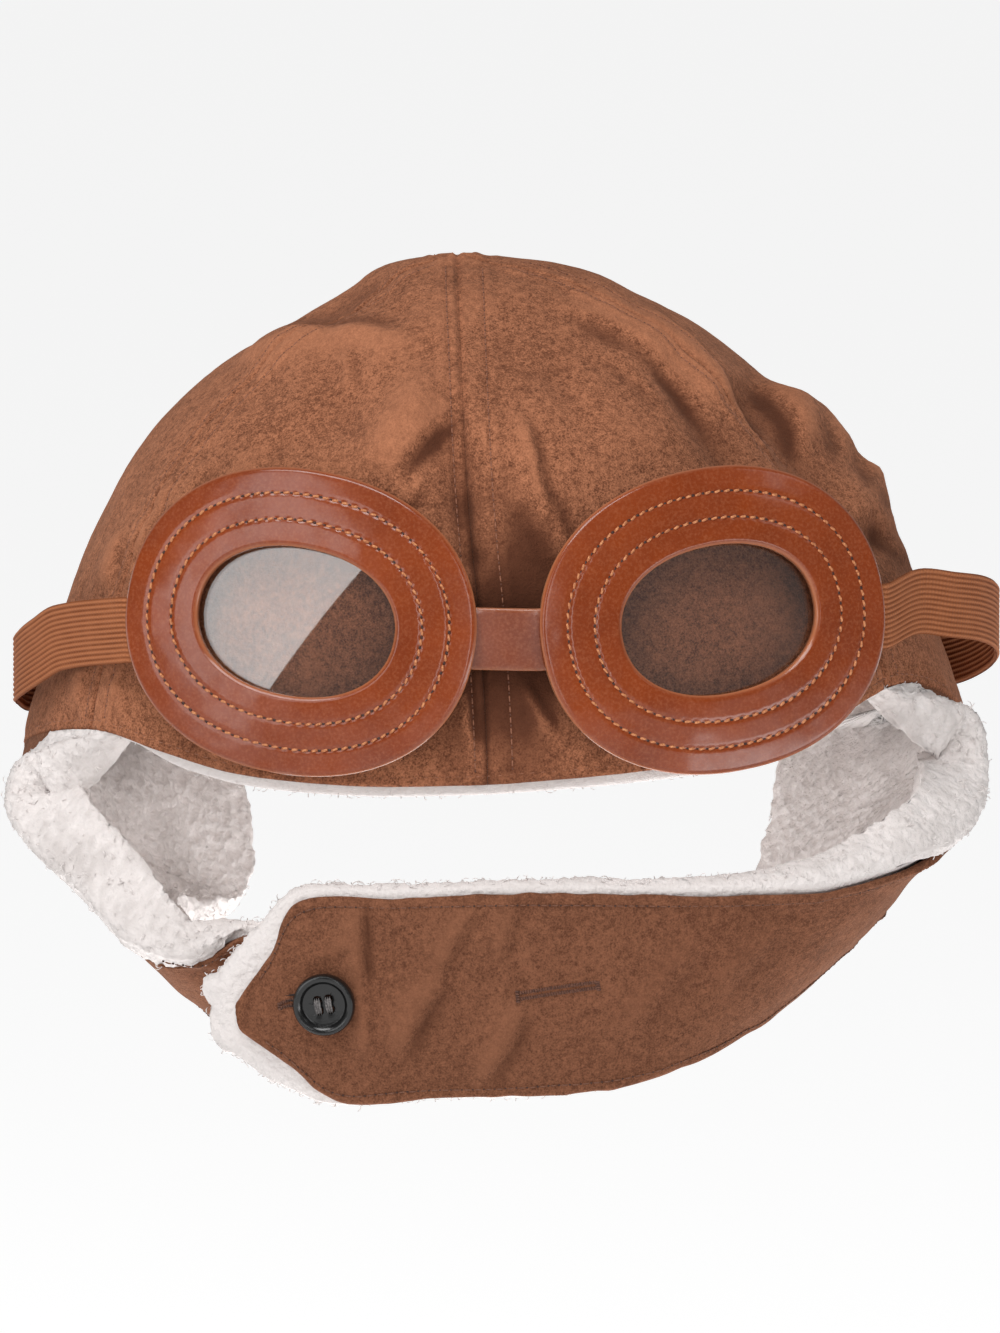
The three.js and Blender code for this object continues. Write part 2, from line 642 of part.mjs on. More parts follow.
// A flat band along a list of places, each with its own upward direction.
function band(path, width, thickness) {
  const rows = path.map(({ p, up }, i) => {
    const before = path[Math.max(i - 1, 0)].p;
    const after = path[Math.min(i + 1, path.length - 1)].p;
    const along = vector(0, 0, 0).subVectors(after, before).normalize();
    const across = up.clone().addScaledVector(along, -up.dot(along)).normalize();
    const out = vector(0, 0, 0).crossVectors(along, across).normalize();
    return { p, across, out };
  });
  const face = (depth) => rows.map(({ p, across, out }) => [-0.5, 0, 0.5].map((side) => {
    return p.clone().addScaledVector(across, side * width).addScaledVector(out, depth);
  }));
  return shell(face(thickness / 2), face(-thickness / 2));
}

// A place in the slot between a goggle's two rings.
function slotPlace(group, across, up) {
  const middle = goggle.backing + goggle.slot / 2;
  const p = group.localToWorld(gogglePoint(across, up, middle));
  const above = group.localToWorld(gogglePoint(across, up + 1, middle));
  return { p, up: above.sub(p) };
}

const hat = new THREE.Group();

hat.add(crownPanel('crown_back_left', seams[0], seams[1]));
hat.add(crownPanel('crown_front_left', seams[1], seams[2]));
hat.add(crownPanel('crown_front_right', seams[2], seams[3]));
hat.add(crownPanel('crown_back_right', seams[3], seams[4]));
hat.add(crownLining());

const left = withHem(leftFlap);
const right = withHem(rightFlap);
const holes = buttonholes(right);
const cutByHoles = (geometry) => fromSolid(toSolid(geometry).subtract(holes));
hat.add(piece('left_flap_cloth', flapCloth(left), strapSuede()));
hat.add(piece('left_flap_lining', flapLining(left), fleece()));
hat.add(piece('right_flap_cloth', cutByHoles(flapCloth(right)), strapSuede()));
hat.add(piece('right_flap_lining', cutByHoles(flapLining(right)), fleece()));

const buttonFrame = strapFrame(right, buttonSpot);
const sewnTo = flapSurface(left, shankSpot.place, shankSpot.across);
const buttonPlace = vector(0, 0, 0).setFromMatrixPosition(buttonFrame);
const buttonOut = vector(0, 0, 0).setFromMatrixColumn(buttonFrame, 1);
const reach = buttonPlace.clone().sub(sewnTo).dot(buttonOut);
const fastening = new THREE.Group();
fastening.applyMatrix4(buttonFrame);
fastening.translateY(BUTTON_STAND);
fastening.add(piece('chin_button', buttonSolid(), horn()));
fastening.add(piece('button_thread', threadSolid(reach), cotton()));
hat.add(fastening);

const [goggleLeft, goggleRight] = goggles.map(goggleGroup);
hat.add(goggleLeft, goggleRight);

// The bridge and the elastic reach into the slots of the goggles, from steps inside the rim's edge
// to steps past it.
const REACH_IN = 6;
const slotEnd = (group, side, up, past) => [-REACH_IN, 0, past].map((step) => {
  return slotPlace(group, side * (goggle.outer.across - 1 + step), up);
});
const bridgePath = [
  ...slotEnd(goggleLeft, 1, goggles[0].bridgeUp, 2),
  ...slotEnd(goggleRight, -1, goggles[1].bridgeUp, 2).reverse(),
];
hat.add(piece('goggle_bridge', band(bridgePath, BRIDGE_WIDTH, goggle.sheet), bridgeLeather()));

function elasticPlace(turn, side) {
  const height = side < 0 ? 'left' : 'right';
  const row = (column) => smooth(elasticRows, (r) => r.azimuth, (r) => r[column], turn);
  const level = row(height);
  const aside = side * degrees(turn);
  const p = crownSurface(aside, level);
  p.add(vector(Math.sin(aside), -Math.cos(aside), 0).multiplyScalar(row(`${height}Off`)));
  return { p, up: vector(0, 0, 1) };
}

const elasticTurns = spread(19, elasticRows[0].azimuth, 180);
const elasticPath = [
  ...slotEnd(goggleRight, 1, goggles[1].elasticUp, 3),
  ...elasticTurns.map((turn) => elasticPlace(turn, 1)),
  ...elasticTurns.slice(0, -1).reverse().map((turn) => elasticPlace(turn, -1)),
  ...slotEnd(goggleLeft, -1, goggles[0].elasticUp, 3).reverse(),
];
hat.add(piece('goggle_elastic', band(elasticPath, ELASTIC_WIDTH, goggle.sheet), webbing()));

export default hat;
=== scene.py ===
"""Aviator hat with goggles: a crown of suede-look cloth lined with curly white fleece, two ear flaps
that run on into a buttoned chin strap, and leather goggles on a ribbed elastic band.
Shapes are worked out in millimetres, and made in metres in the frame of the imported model."""
import math

import bpy
import numpy as np
from mathutils import Matrix


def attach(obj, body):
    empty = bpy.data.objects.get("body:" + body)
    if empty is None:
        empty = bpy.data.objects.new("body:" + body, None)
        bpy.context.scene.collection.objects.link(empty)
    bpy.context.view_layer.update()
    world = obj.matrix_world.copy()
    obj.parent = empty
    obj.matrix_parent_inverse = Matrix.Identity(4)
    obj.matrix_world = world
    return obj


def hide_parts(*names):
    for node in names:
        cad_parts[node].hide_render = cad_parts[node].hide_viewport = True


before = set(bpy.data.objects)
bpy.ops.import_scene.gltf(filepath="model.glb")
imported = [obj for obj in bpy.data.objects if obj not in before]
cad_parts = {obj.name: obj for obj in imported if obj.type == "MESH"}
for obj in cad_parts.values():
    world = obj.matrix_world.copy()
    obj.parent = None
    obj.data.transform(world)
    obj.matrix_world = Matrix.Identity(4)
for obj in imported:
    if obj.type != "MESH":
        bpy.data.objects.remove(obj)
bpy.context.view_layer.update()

# The view
# The hat is seen straight from the front and from 8 degrees above, through a long lens that keeps
# its far side nearly as large as its near side. Metres here; the shapes below are in millimetres.
MM = 0.001
VIEW_TILT = math.radians(8)
VIEW_DISTANCE = 10.0
VIEW_HEIGHT = 0.3199
VIEW_MIDDLE = np.array([1.2, -20, 18.5]) * MM
LONG_SIDE = 36

camera = bpy.data.objects.new("camera", bpy.data.cameras.new("camera"))
bpy.context.scene.collection.objects.link(camera)
bpy.context.scene.camera = camera
camera.data.sensor_width = LONG_SIDE
camera.data.lens = LONG_SIDE * VIEW_DISTANCE / VIEW_HEIGHT
to_camera = np.array([0, -math.cos(VIEW_TILT), math.sin(VIEW_TILT)])
camera.location = VIEW_MIDDLE + VIEW_DISTANCE * to_camera
camera.rotation_euler = (math.pi / 2 - VIEW_TILT, 0, 0)
bpy.context.scene.view_settings.view_transform = "Standard"

# Crown cloth
# Four panels of napped suede cloth, cut to meet at the top, sewn to each other with their edges
# pressed apart, topstitched beside each seam and turned under at the hem.
CLOTH = 1.3
SEAM_GAP = 0.02
CROWN_TOP = 114.5
SIDE_SEAM = 60
# One row for each height: left, right, front and back are the distances of the outline from the
# middle of the hat, seam is the place of the centre seam, and square the exponent of the oval.
CROWN_COLUMNS = ("height", "left", "right", "seam", "front", "back", "square")
CROWN_ROWS = np.array([
    (-20, 114.5, 116, -1.7, 91, 89, 2.45),
    (0, 112.7, 114.5, -1.7, 92, 94, 2.45),
    (20, 106.5, 107.8, -2.5, 91.5, 96.5, 2.45),
    (42, 99, 98.6, -4, 89.5, 96, 2.4),
    (57, 92, 92.4, -5.5, 86.5, 93, 2.3),
    (67, 86, 83.5, -6.3, 83, 89, 2.25),
    (77, 78, 74.7, -7, 77, 83, 2.2),
    (86, 67.8, 63.8, -7.5, 69, 75, 2.15),
    (96, 50.8, 51, -8, 54.5, 60.5, 2.1),
    (105, 38, 34.8, -8.5, 38.5, 43.5, 2),
    (110.5, 31, 24.5, -8.8, 26.5, 30, 2),
    (CROWN_TOP, 9, -9, -9, 0, 0, 2),
])
crown = dict(zip(CROWN_COLUMNS, CROWN_ROWS.T))
crown["left"] = (crown["left"] + crown["seam"]) ** 2
crown["right"] = (crown["right"] - crown["seam"]) ** 2
crown["front"] = crown["front"] ** 2
crown["back"] = crown["back"] ** 2
# The height of the hem by the angle round from the front, on the left and on the right.
HEM_ROWS = np.array([
    (0, 0, 0),
    (20, -0.5, 2.6),
    (36, 1.4, 5.8),
    (46, 5, 10),
    (56, 8.3, 16.6),
    (63, 7.6, 18.6),
    (71, 5, 15.8),
    (83, 0, 8),
    (100, -7, -1),
    (125, -14, -11),
    (145, -18, -17),
    (180, -19, -19),
])
# Folds as they are seen from the front: across and up at both ends, half-width, and depth. These
# are the hat's main dents and ridges, which are soft.
DENTS = np.array([
    (-40, 103, -30, 108, 6, -3.5),
    (-55, 93, -12, 96, 6, 2),
    (-39, 90, -37, 79, 6, -2.5),
    (-16, 82, -29, 64, 5, 2),
    (-12, 76, -7, 55, 5, -2.5),
    (42, 85, 56, 65, 5, -3),
    (61, 80, 79, 58, 5, -4.5),
    (72, 76, 88, 54, 6, 3),
    (82, 55, 92, 46, 4, -3),
    (-54, 69, -36, 73, 5, -1.6),
    (-24, 99, -30, 92, 4, -1.4),
    (14, 86, 22, 74, 4.5, -1.3),
    (8, 51, 15, 40, 4, -2.2),
    (-9, 63, -6, 41, 3.4, -2),
    (-24, 10, -20, -1, 3.4, -1.2),
    (22, 8, 30, -1, 3.4, 1),
])
# Folds that lap over: both ends of the crest, how far it bows to its left, the width of its gentle
# side, which is on its left, and its height. On its right it drops in about a quarter of that width.
TUCKS = np.array([
    (-16, 91, -58, 89, -4, 9, 2.4),
    (-34, 80, -35, 91, 0.5, 4.5, 1.7),
    (-47, 92, -63, 88, 0, 4, 1.5),
    (-27, 58, -8, 80, 1.5, 8, 3),
    (-24, 52, -15, 62, 0, 5, 1.3),
    (-62, 56, -50, 74, 1, 8, 1),
    (-78, 50, -66, 66, 1, 6, 1.2),
    (-93, 32, -87, 50, 0.5, 4, 1.8),
    (-84, 40, -82, 53, 0, 4, 1.3),
    (10, 104, 58, 68, 6, 7, 2.4),
    (71, 63, 30, 106, -2, 4, 1.7),
    (24, 92, 44, 74, 2, 7, 0.9),
    (62, 87, 76, 65, 1.5, 4.5, 2.6),
    (71, 82, 84, 61, 1.5, 4.5, 2.6),
    (80, 72, 91, 55, 1, 4, 2.4),
    (87, 63, 97, 51, 0.5, 4, 2.2),
    (91, 54, 100, 39, 0, 4, 1.6),
    (12, 45, 4, 80, -1.5, 5, 1.9),
    (19, 38, 11, 60, 0, 5, 1.4),
    (-5, -6, -8, 13, 0, 4, 1.3),
    (16, -4, 5, 14, 0, 4, 1.3),
    (-100, 3, -97, 18, 0, 4, 1.3),
    (-88, 2, -90, 14, 0, 4, 1),
    (30, -1, 22, 10, 0, 4, 1),
])


def smooth(x, y, at):
    """A cubic between each two points (x, y), whose slope at a point is that of the line between its
    neighbours. Beyond the ends it goes straight on."""
    low = np.maximum(np.arange(len(x)) - 1, 0)
    high = np.minimum(np.arange(len(x)) + 1, len(x) - 1)
    slope = (y[high] - y[low]) / (x[high] - x[low])
    at = np.asarray(at, float)
    i = np.clip(np.searchsorted(x, at, side="right") - 1, 0, len(x) - 2)
    step = x[i + 1] - x[i]
    rise = y[i + 1] - y[i]
    t = (at - x[i]) / step
    inside = np.clip(t, 0, 1)
    bow = (1 - inside) * (slope[i] * step - rise) - inside * (slope[i + 1] * step - rise)
    beyond = np.where(t < 0, t * slope[i], np.where(t > 1, (t - 1) * slope[i + 1], 0)) * step
    return y[i] + rise * inside + inside * (1 - inside) * bow + beyond


def ease(x):
    """0 below 0, 1 above 1, and the smooth step 3x^2 - 2x^3 between."""
    x = np.clip(x, 0, 1)
    return x * x * (3 - 2 * x)


def bump(x, width):
    """A bell of height 1 round x = 0."""
    return np.exp(-((x / width) ** 2))


def unit(v):
    """Vectors of length 1 in the directions of v."""
    return v / np.maximum(np.linalg.norm(v, axis=-1, keepdims=True), 1e-12)


def scatter(cell, seed):
    """A value from 0 to 1 for each lattice cell: its whole coordinates mixed by large factors."""
    mixed = cell[..., 0] * 73856093 ^ cell[..., 1] * 19349663 ^ cell[..., 2] * 83492791 ^ seed * 2654435
    mixed = (mixed ^ (mixed >> 13)) * 1274126177 & 0xFFFFFFFF
    mixed = (mixed ^ (mixed >> 16)) * 2246822519 & 0xFFFFFFFF
    return ((mixed ^ (mixed >> 15)) & 0xFFFF) / 65535.0


def waves(p, size, seed):
    """Smooth noise from -1 to 1: random values on a lattice of that size, blended by smooth steps."""
    q = p / size
    cell = np.floor(q).astype(np.int64)
    t = ease(q - cell)
    total = 0
    for corner in np.ndindex(2, 2, 2):
        weight = np.prod(np.where(np.array(corner), t, 1 - t), axis=-1)
        total = total + weight * scatter(cell + np.array(corner), seed)
    return 2 * total - 1


def swells(p, rows):
    """Smooth noises added up: each row gives a height, a size and a seed."""
    return sum(height * waves(p, size, seed) for height, size, seed in rows)


def crown_surface(turn, height):
    """The crown without folds: at each height an oval round the centre seam, whose squared
    half-widths follow the table. turn is the angle round from the front."""
    level = np.minimum(height, CROWN_TOP)
    read = {c: smooth(crown["height"], crown[c], level) for c in CROWN_COLUMNS[1:]}
    aside, ahead = np.sin(turn), np.cos(turn)
    width = np.sqrt(np.maximum(np.where(aside < 0, read["left"], read["right"]), 1e-9))
    depth = np.sqrt(np.maximum(np.where(ahead < 0, read["back"], read["front"]), 1e-9))
    square = read["square"]
    radius = ((np.abs(aside) / width) ** square + (np.abs(ahead) / depth) ** square) ** (-1 / square)
    return np.stack([read["seam"] + radius * aside, -radius * ahead, level + 0 * turn], -1)


def hem_height(turn):
    """The height of the crown's hem at an angle round from the front."""
    degrees = np.abs(np.degrees(turn))
    sides = [smooth(HEM_ROWS[:, 0], HEM_ROWS[:, k], degrees) for k in (1, 2)]
    return np.where(turn < 0, *sides)


def seen_from_front(p):
    """Across and up in the photo's view."""
    return np.stack([p[..., 0], p[..., 2] * math.cos(VIEW_TILT) + p[..., 1] * math.sin(VIEW_TILT)], -1)


def dent_depth(p, dents):
    """How far soft folds push a point out: a bell across each line between two ends."""
    total = 0
    for x0, y0, x1, y1, width, depth in dents:
        line = np.array([x1 - x0, y1 - y0])
        away = seen_from_front(p) - np.array([x0, y0])
        t = np.clip(away @ line / (line @ line), 0, 1)
        total = total + depth * bump(np.linalg.norm(away - t[..., None] * line, axis=-1), width)
    return total


STEEP_SHARE = 0.26
# How dark the painted shade at the foot of a tuck is, against its painted crest highlight.
FOOT_DARKNESS = 1.3


def tuck_depth(p, tucks):
    """How far lapped folds push a point out, and the light and shade painted into the nap there.
    Across a bowed crest goes a bell with a gentle and a steep side; a painted highlight lies on the
    crest and painted shade at the foot of the steep side. Both fade along the first and the last
    third of the crest."""
    total = painted_shading = 0
    for x0, y0, x1, y1, bow, width, depth in tucks:
        line = np.array([x1 - x0, y1 - y0])
        away = seen_from_front(p) - np.array([x0, y0])
        t = away @ line / (line @ line)
        off = away @ np.array([-line[1], line[0]]) / np.linalg.norm(line) - bow * 4 * t * (1 - t)
        fade = ease(t * 3) * ease((1 - t) * 3)
        total = total + depth * fade * bump(off, np.where(off > 0, width, STEEP_SHARE * width))
        crest = bump(off - 0.1 * width, 0.3 * width)
        foot = bump(off + 0.4 * width, 0.3 * width)
        painted_shading = painted_shading + depth * fade * (crest - FOOT_DARKNESS * foot)
    return total, painted_shading


def front_half(p):
    """1 on the front of the hat, and 0 from its middle backwards, as a smooth step."""
    return ease((20 - p[..., 1]) / 25)


def fold_depth(p):
    """How far the crown's folds push a point out, on the front half of the hat."""
    return (dent_depth(p, DENTS) + tuck_depth(p, TUCKS)[0]) * front_half(p)


TURN_STEP = 0.01
RISE_STEP = 0.001


def crown_frame(turn, rise, below=0):
    """A point of the crown without folds, its outward normal, and the millimetres round the hat per
    radian. rise goes from 0 at the hem to 1 at the top, along a quarter wave of the height."""
    def at(round_to, up):
        hem = hem_height(round_to) - below
        return crown_surface(round_to, hem + (CROWN_TOP - hem) * np.sin(up * math.pi / 2))
    turn, rise = np.broadcast_arrays(turn, rise)
    p = at(turn, rise)
    sideways = at(turn + TURN_STEP, rise) - at(turn - TURN_STEP, rise)
    upward = at(turn, rise + RISE_STEP) - at(turn, rise - RISE_STEP)
    normal = unit(np.cross(sideways, upward))
    top = (rise > 0.998)[..., None]
    return p, np.where(top, [0, 0, 1], normal), np.linalg.norm(sideways, axis=-1) / (2 * TURN_STEP)


def crown_wall(turn, rise, inset, below=0):
    """A point of the crown's wall with its folds, at a depth under the outside of the cloth."""
    p, normal, _ = crown_frame(turn, rise, below)
    return p + normal * (fold_depth(p) - inset)[..., None]


# The seams by their angle round from the front: back, left, front, right and back again.
SEAM_TURNS = np.radians([-180, -SIDE_SEAM, 0, SIDE_SEAM, 180])
# How far the rows of stitches lie from a seam, on its left and on its right.
SEAM_ROWS = (-2.9, 6)
HEM_ROW = 2.2
ROW_WIDTH = 0.8
DEEPEST = 1.1
PRESSED_WIDTH = 8
CROWN_SWELLS = ((0.6, 24, 1), (0.35, 9, 2), (0.1, 2.6, 3))


def crown_relief(turn, rise):
    """What lifts or sinks the outside of the cloth besides the folds: slow waves, a groove and
    pressed allowances at each seam with puckers between the stitches, and the hem. It never sinks
    by more than the thickness allows."""
    p, normal, metric = crown_frame(turn, rise)
    turn, rise = np.broadcast_arrays(turn, rise)
    relief = swells(p, CROWN_SWELLS)
    for seam in SEAM_TURNS:
        off = (turn - seam) * metric
        near = ease((11 - np.abs(off)) / 7)
        relief = relief + 0.4 * waves(p, 4.2, 5) * near - 0.8 * bump(off, ROW_WIDTH)
        for row in SEAM_ROWS:
            relief = relief - 0.3 * bump(off - row, ROW_WIDTH)
        relief = relief + 0.4 * ease((PRESSED_WIDTH - np.abs(off - 1.5)) / 2.5)
    above = p[..., 2] - hem_height(turn)
    relief = relief - 0.3 * bump(above - HEM_ROW, 0.6) - 0.5 * bump(above, 0.6)
    relief = relief + 0.3 * waves(p, 5, 6) * ease((8 - above) / 6)
    sunk = -DEEPEST * np.tanh(np.maximum(-relief, 0) / DEEPEST)
    return p, normal, np.where(relief < 0, sunk, relief)


def strip(index):
    """The four-cornered faces of a grid of point numbers."""
    return np.stack([index[:-1, :-1], index[:-1, 1:], index[1:, 1:], index[1:, :-1]], -1).reshape(-1, 4)


def tube(rows, columns):
    """The faces of a grid whose last column joins its first."""
    index = np.arange(rows * columns).reshape(rows, columns)
    return strip(np.hstack([index, index[:, :1]]))


def shell(outer, inner):
    """Points and faces of a closed wall between two grids of the same size."""
    a = np.arange(outer[..., 0].size).reshape(outer.shape[:2])
    b = a + a.size
    rims = [
        np.stack([b[0], a[0]]),
        np.stack([a[-1], b[-1]]),
        np.stack([a[:, 0], b[:, 0]]),
        np.stack([b[:, -1], a[:, -1]]),
    ]
    faces = [strip(a), strip(b)[:, ::-1], *[strip(rim) for rim in rims]]
    return np.concatenate([outer.reshape(-1, 3), inner.reshape(-1, 3)]), np.concatenate(faces)


def make(name, points, faces, **attributes):
    """A smooth mesh object from points in millimetres. Points that fall together become one, faces
    that close up there become triangles, and a mesh with its inside out is turned."""
    points = np.reshape(points, (-1, 3))
    _, first, same = np.unique(np.round(points, 4), axis=0, return_index=True, return_inverse=True)
    faces = same.reshape(-1)[faces]
    doubled = faces == np.roll(faces, -1, axis=1)
    quads = faces[~doubled.any(1)]
    pinched = doubled.sum(1) == 1
    triangles = faces[pinched][~doubled[pinched]].reshape(-1, 3)
    spots = points[first] * MM
    corners = np.concatenate([quads[:, :3], quads[:, [0, 2, 3]], triangles])
    a, b, c = (spots[corners[:, k]] for k in range(3))
    if np.einsum("ij,ij->", a, np.cross(b, c)) < 0:
        quads, triangles = quads[:, ::-1], triangles[:, ::-1]
    mesh = bpy.data.meshes.new(name)
    mesh.from_pydata(spots, [], [*map(tuple, quads), *map(tuple, triangles)])
    mesh.shade_smooth()
    for key, values in attributes.items():
        layer = mesh.attributes.new(key, "FLOAT", "POINT")
        layer.data.foreach_set("value", np.asarray(values, float).reshape(-1)[first])
    piece = bpy.data.objects.new(name, mesh)
    bpy.context.scene.collection.objects.link(piece)
    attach(piece, "root")
    return piece


def dress(piece, material, node=None):
    """Gives a piece its material, and hides the CAD node it stands for, if one is given."""
    piece.data.materials.append(material)
    if node:
        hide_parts(node)


class Wire:
    """An output socket in a material. Arithmetic on it adds the Math nodes for it."""

    def __init__(self, material, socket):
        self.material = material
        self.socket = socket

    def math(self, operation, first, second):
        return self.material.node("ShaderNodeMath", {"operation": operation}, {0: first, 1: second})

    def __add__(self, other):
        return self.math("ADD", self, other)

    def __radd__(self, other):
        return self.math("ADD", other, self)

    def __sub__(self, other):
        return self.math("SUBTRACT", self, other)

    def __rsub__(self, other):
        return self.math("SUBTRACT", other, self)

    def __mul__(self, other):
        return self.math("MULTIPLY", self, other)

    def __rmul__(self, other):
        return self.math("MULTIPLY", other, self)


class Material:
    """A node material. Every node but the Principled one comes from node(), and the patterns are
    in millimetres of the hat's own space."""

    def __init__(self, name):
        self.material = bpy.data.materials.new(name)
        self.material.use_nodes = True
        self.tree = self.material.node_tree
        self.surface = self.tree.nodes["Principled BSDF"]
        self.place = self.node("ShaderNodeTexCoord", {}, {}, "Object")

    def node(self, kind, settings, sockets, output=0):
        """Adds a node, gives it its settings and then its sockets, and returns one output."""
        node = self.tree.nodes.new(kind)
        for key, value in settings.items():
            setattr(node, key, value)
        for key, value in sockets.items():
            self.plug(node.inputs[key], value)
        return Wire(self, node.outputs[output])

    def plug(self, socket, value):
        if isinstance(value, Wire):
            self.tree.links.new(value.socket, socket)
        elif socket.type == "RGBA":
            socket.default_value = (*value, 1)
        else:
            socket.default_value = value

    def noise(self, size, detail, rough, seed=0.0):
        """Noise from 0 to 1 whose blobs are about that many millimetres across."""
        sockets = {
            "Vector": self.place,
            "W": seed,
            "Scale": 1 / (size * MM),
            "Detail": detail,
            "Roughness": rough,
        }
        return self.node("ShaderNodeTexNoise", {"noise_dimensions": "4D"}, sockets)

    def between(self, low, high, value):
        """0 to 1 as the value goes from low to high."""
        return self.node("ShaderNodeMapRange", {}, {"Value": value, "From Min": low, "From Max": high})

    def mix(self, share, first, second):
        """A colour mixed from two."""
        return self.node("ShaderNodeMix", {"data_type": "RGBA"}, {0: share, 6: first, 7: second}, 2)

    def attribute(self, name):
        return self.node("ShaderNodeAttribute", {"attribute_name": name}, {}, "Fac")

    def cells(self, feature, per_metre):
        """Distance to the middles of cells, of which that many go to a metre."""
        sockets = {"Vector": self.place, "Scale": per_metre}
        return self.node("ShaderNodeTexVoronoi", {"feature": feature}, sockets)

    def bumps(self, height, distance, under=None):
        """A Bump node for a height from 0 to 1 that stands for that many millimetres."""
        sockets = {"Height": height, "Distance": distance * MM}
        if under:
            sockets["Normal"] = under
        return self.node("ShaderNodeBump", {}, sockets)

    def finish(self, **sockets):
        """Sets the Principled node's own sockets; an underscore stands for a space."""
        for key, value in sockets.items():
            self.plug(self.surface.inputs[key.replace("_", " ")], value)
        return self.material


FOLD_SHADOW = (0.045, 0.015, 0.008)


def suede(name, pale, middle, deep):
    """Napped cloth: large and small patches where the nap lies one way or the other, a fine speckle
    of fibre ends, and from the relief attribute painted shade in hollows, a painted fold shadow in the
    deepest of them and a painted highlight on ridges."""
    m = Material(name)
    patches = m.noise(24, 3, 0.6)
    strokes = m.noise(5, 4, 0.65, seed=3)
    speckle = 0.6 * m.noise(0.45, 2, 0.7, seed=5) + 0.4 * m.noise(1.35, 2, 0.6, seed=6)
    relief = m.attribute("relief")
    lie = m.between(0.32, 0.68, patches * 0.6 + strokes * 0.4)
    tone = m.mix(lie, deep, pale)
    tone = m.mix(0.55, tone, middle)
    tone = m.mix(0.9 * m.between(0.5, 0.62, speckle), tone, pale)
    tone = m.mix(0.9 * m.between(0.5, 0.38, speckle), tone, deep)
    # Painted shade in hollows, a painted fold shadow in the deepest, and a painted highlight on ridges.
    tone = m.mix(0.9 * m.between(-0.15, -2, relief), tone, deep)
    tone = m.mix(0.75 * m.between(-1.4, -3.2, relief), tone, FOLD_SHADOW)
    tone = m.mix(0.5 * m.between(0.2, 1.4, relief), tone, pale)
    fibres = m.bumps(speckle, 0.5)
    nap = m.bumps(strokes, 0.5, fibres)
    return m.finish(
        Base_Color=tone, Roughness=0.95, Normal=nap, Sheen_Weight=0.12, Sheen_Roughness=0.5,
        Sheen_Tint=(0.8, 0.5, 0.36), Specular_IOR_Level=0.06,
    )


crown_suede = suede("crown_suede", (0.45, 0.18, 0.093), (0.28, 0.108, 0.055), (0.1, 0.034, 0.018))


def painted_bridge_shadow(p):
    """Where a shadow of the goggles and their bridge is painted into the nap: two crossed bells, as a
    share.
    """
    return bump((p[..., 0] - 3) / 17, 1) * bump((p[..., 2] - 31) / 31, 1) * front_half(p)


# The panels from the back round the left to the back again, and the columns of each mesh.
PANELS = {"crown_back_left": 96, "crown_front_left": 104, "crown_front_right": 104, "crown_back_right": 96}
PANEL_ROWS = 128
THINNEST = 0.6
# Painted light and shade in the nap besides that from the relief: lighter on folds that rise and
# darker in those that sink, the painted highlights and shade of the tucks, and the painted shadow of
# the goggles' bridge.
FOLD_SHADE, TUCK_PAINTED_SHADING, BRIDGE_SHADE = 0.3, 0.55, -3.6


def crowded(count, crowding):
    """Numbers from 0 to 1 that lie closer together near both ends: u - k sin(2 pi u) / 2 pi."""
    u = np.linspace(0, 1, count)
    return u - crowding * np.sin(2 * math.pi * u) / (2 * math.pi)


def crown_panel(name, first, second, columns):
    """One panel from seam to seam: the relief on the outside, a plain inside, and the seam's gap."""
    turns = first + (second - first) * crowded(columns, 0.62)
    rises = np.linspace(0, 1, PANEL_ROWS) ** 1.12
    turn, rise = np.meshgrid(turns, rises)
    p, normal, relief = crown_relief(turn, rise)
    folds = fold_depth(p)
    middle = (first + second) / 2
    out = np.array([math.sin(middle), -math.cos(middle), 0]) * SEAM_GAP
    outer = p + normal * (folds + relief)[..., None] + out
    inner = p + normal * (folds + np.minimum(relief - THINNEST, -CLOTH))[..., None] + out
    points, faces = shell(outer, inner)
    # shade paints the nap darker where relief and folds sink and lighter where they rise, with the painted
    # light and shade of the tucks and the goggles' painted shadow.
    shade = relief + FOLD_SHADE * folds + TUCK_PAINTED_SHADING * tuck_depth(p, TUCKS)[1]
    shade = shade + BRIDGE_SHADE * painted_bridge_shadow(p)
    piece = make(name + "_cloth", points, faces, relief=np.tile(shade.ravel(), 2))
    dress(piece, crown_suede, name)


for panel, seam, next_seam in zip(PANELS, SEAM_TURNS, SEAM_TURNS[1:]):
    crown_panel(panel, seam, next_seam, PANELS[panel])

# Crown stitching
# Brown thread, a row on each side of every seam and one round the hem, each stitch a small strand
# that sinks into the cloth at both ends.
STITCH = 2.6
STITCH_RADIUS = 0.2
STITCH_RINGS = 6
STITCH_SIDES = 5
SUNK = 0.1


def run(path):
    """How far along a path each of its points lies."""
    return np.concatenate([[0], np.cumsum(np.linalg.norm(np.diff(path, axis=0), axis=1))])


def tubes(count, rows, columns):
    """The faces of that many tubes, one after the other."""
    starts = np.arange(count) * rows * columns
    return (tube(rows, columns) + starts[:, None, None]).reshape(-1, 4)


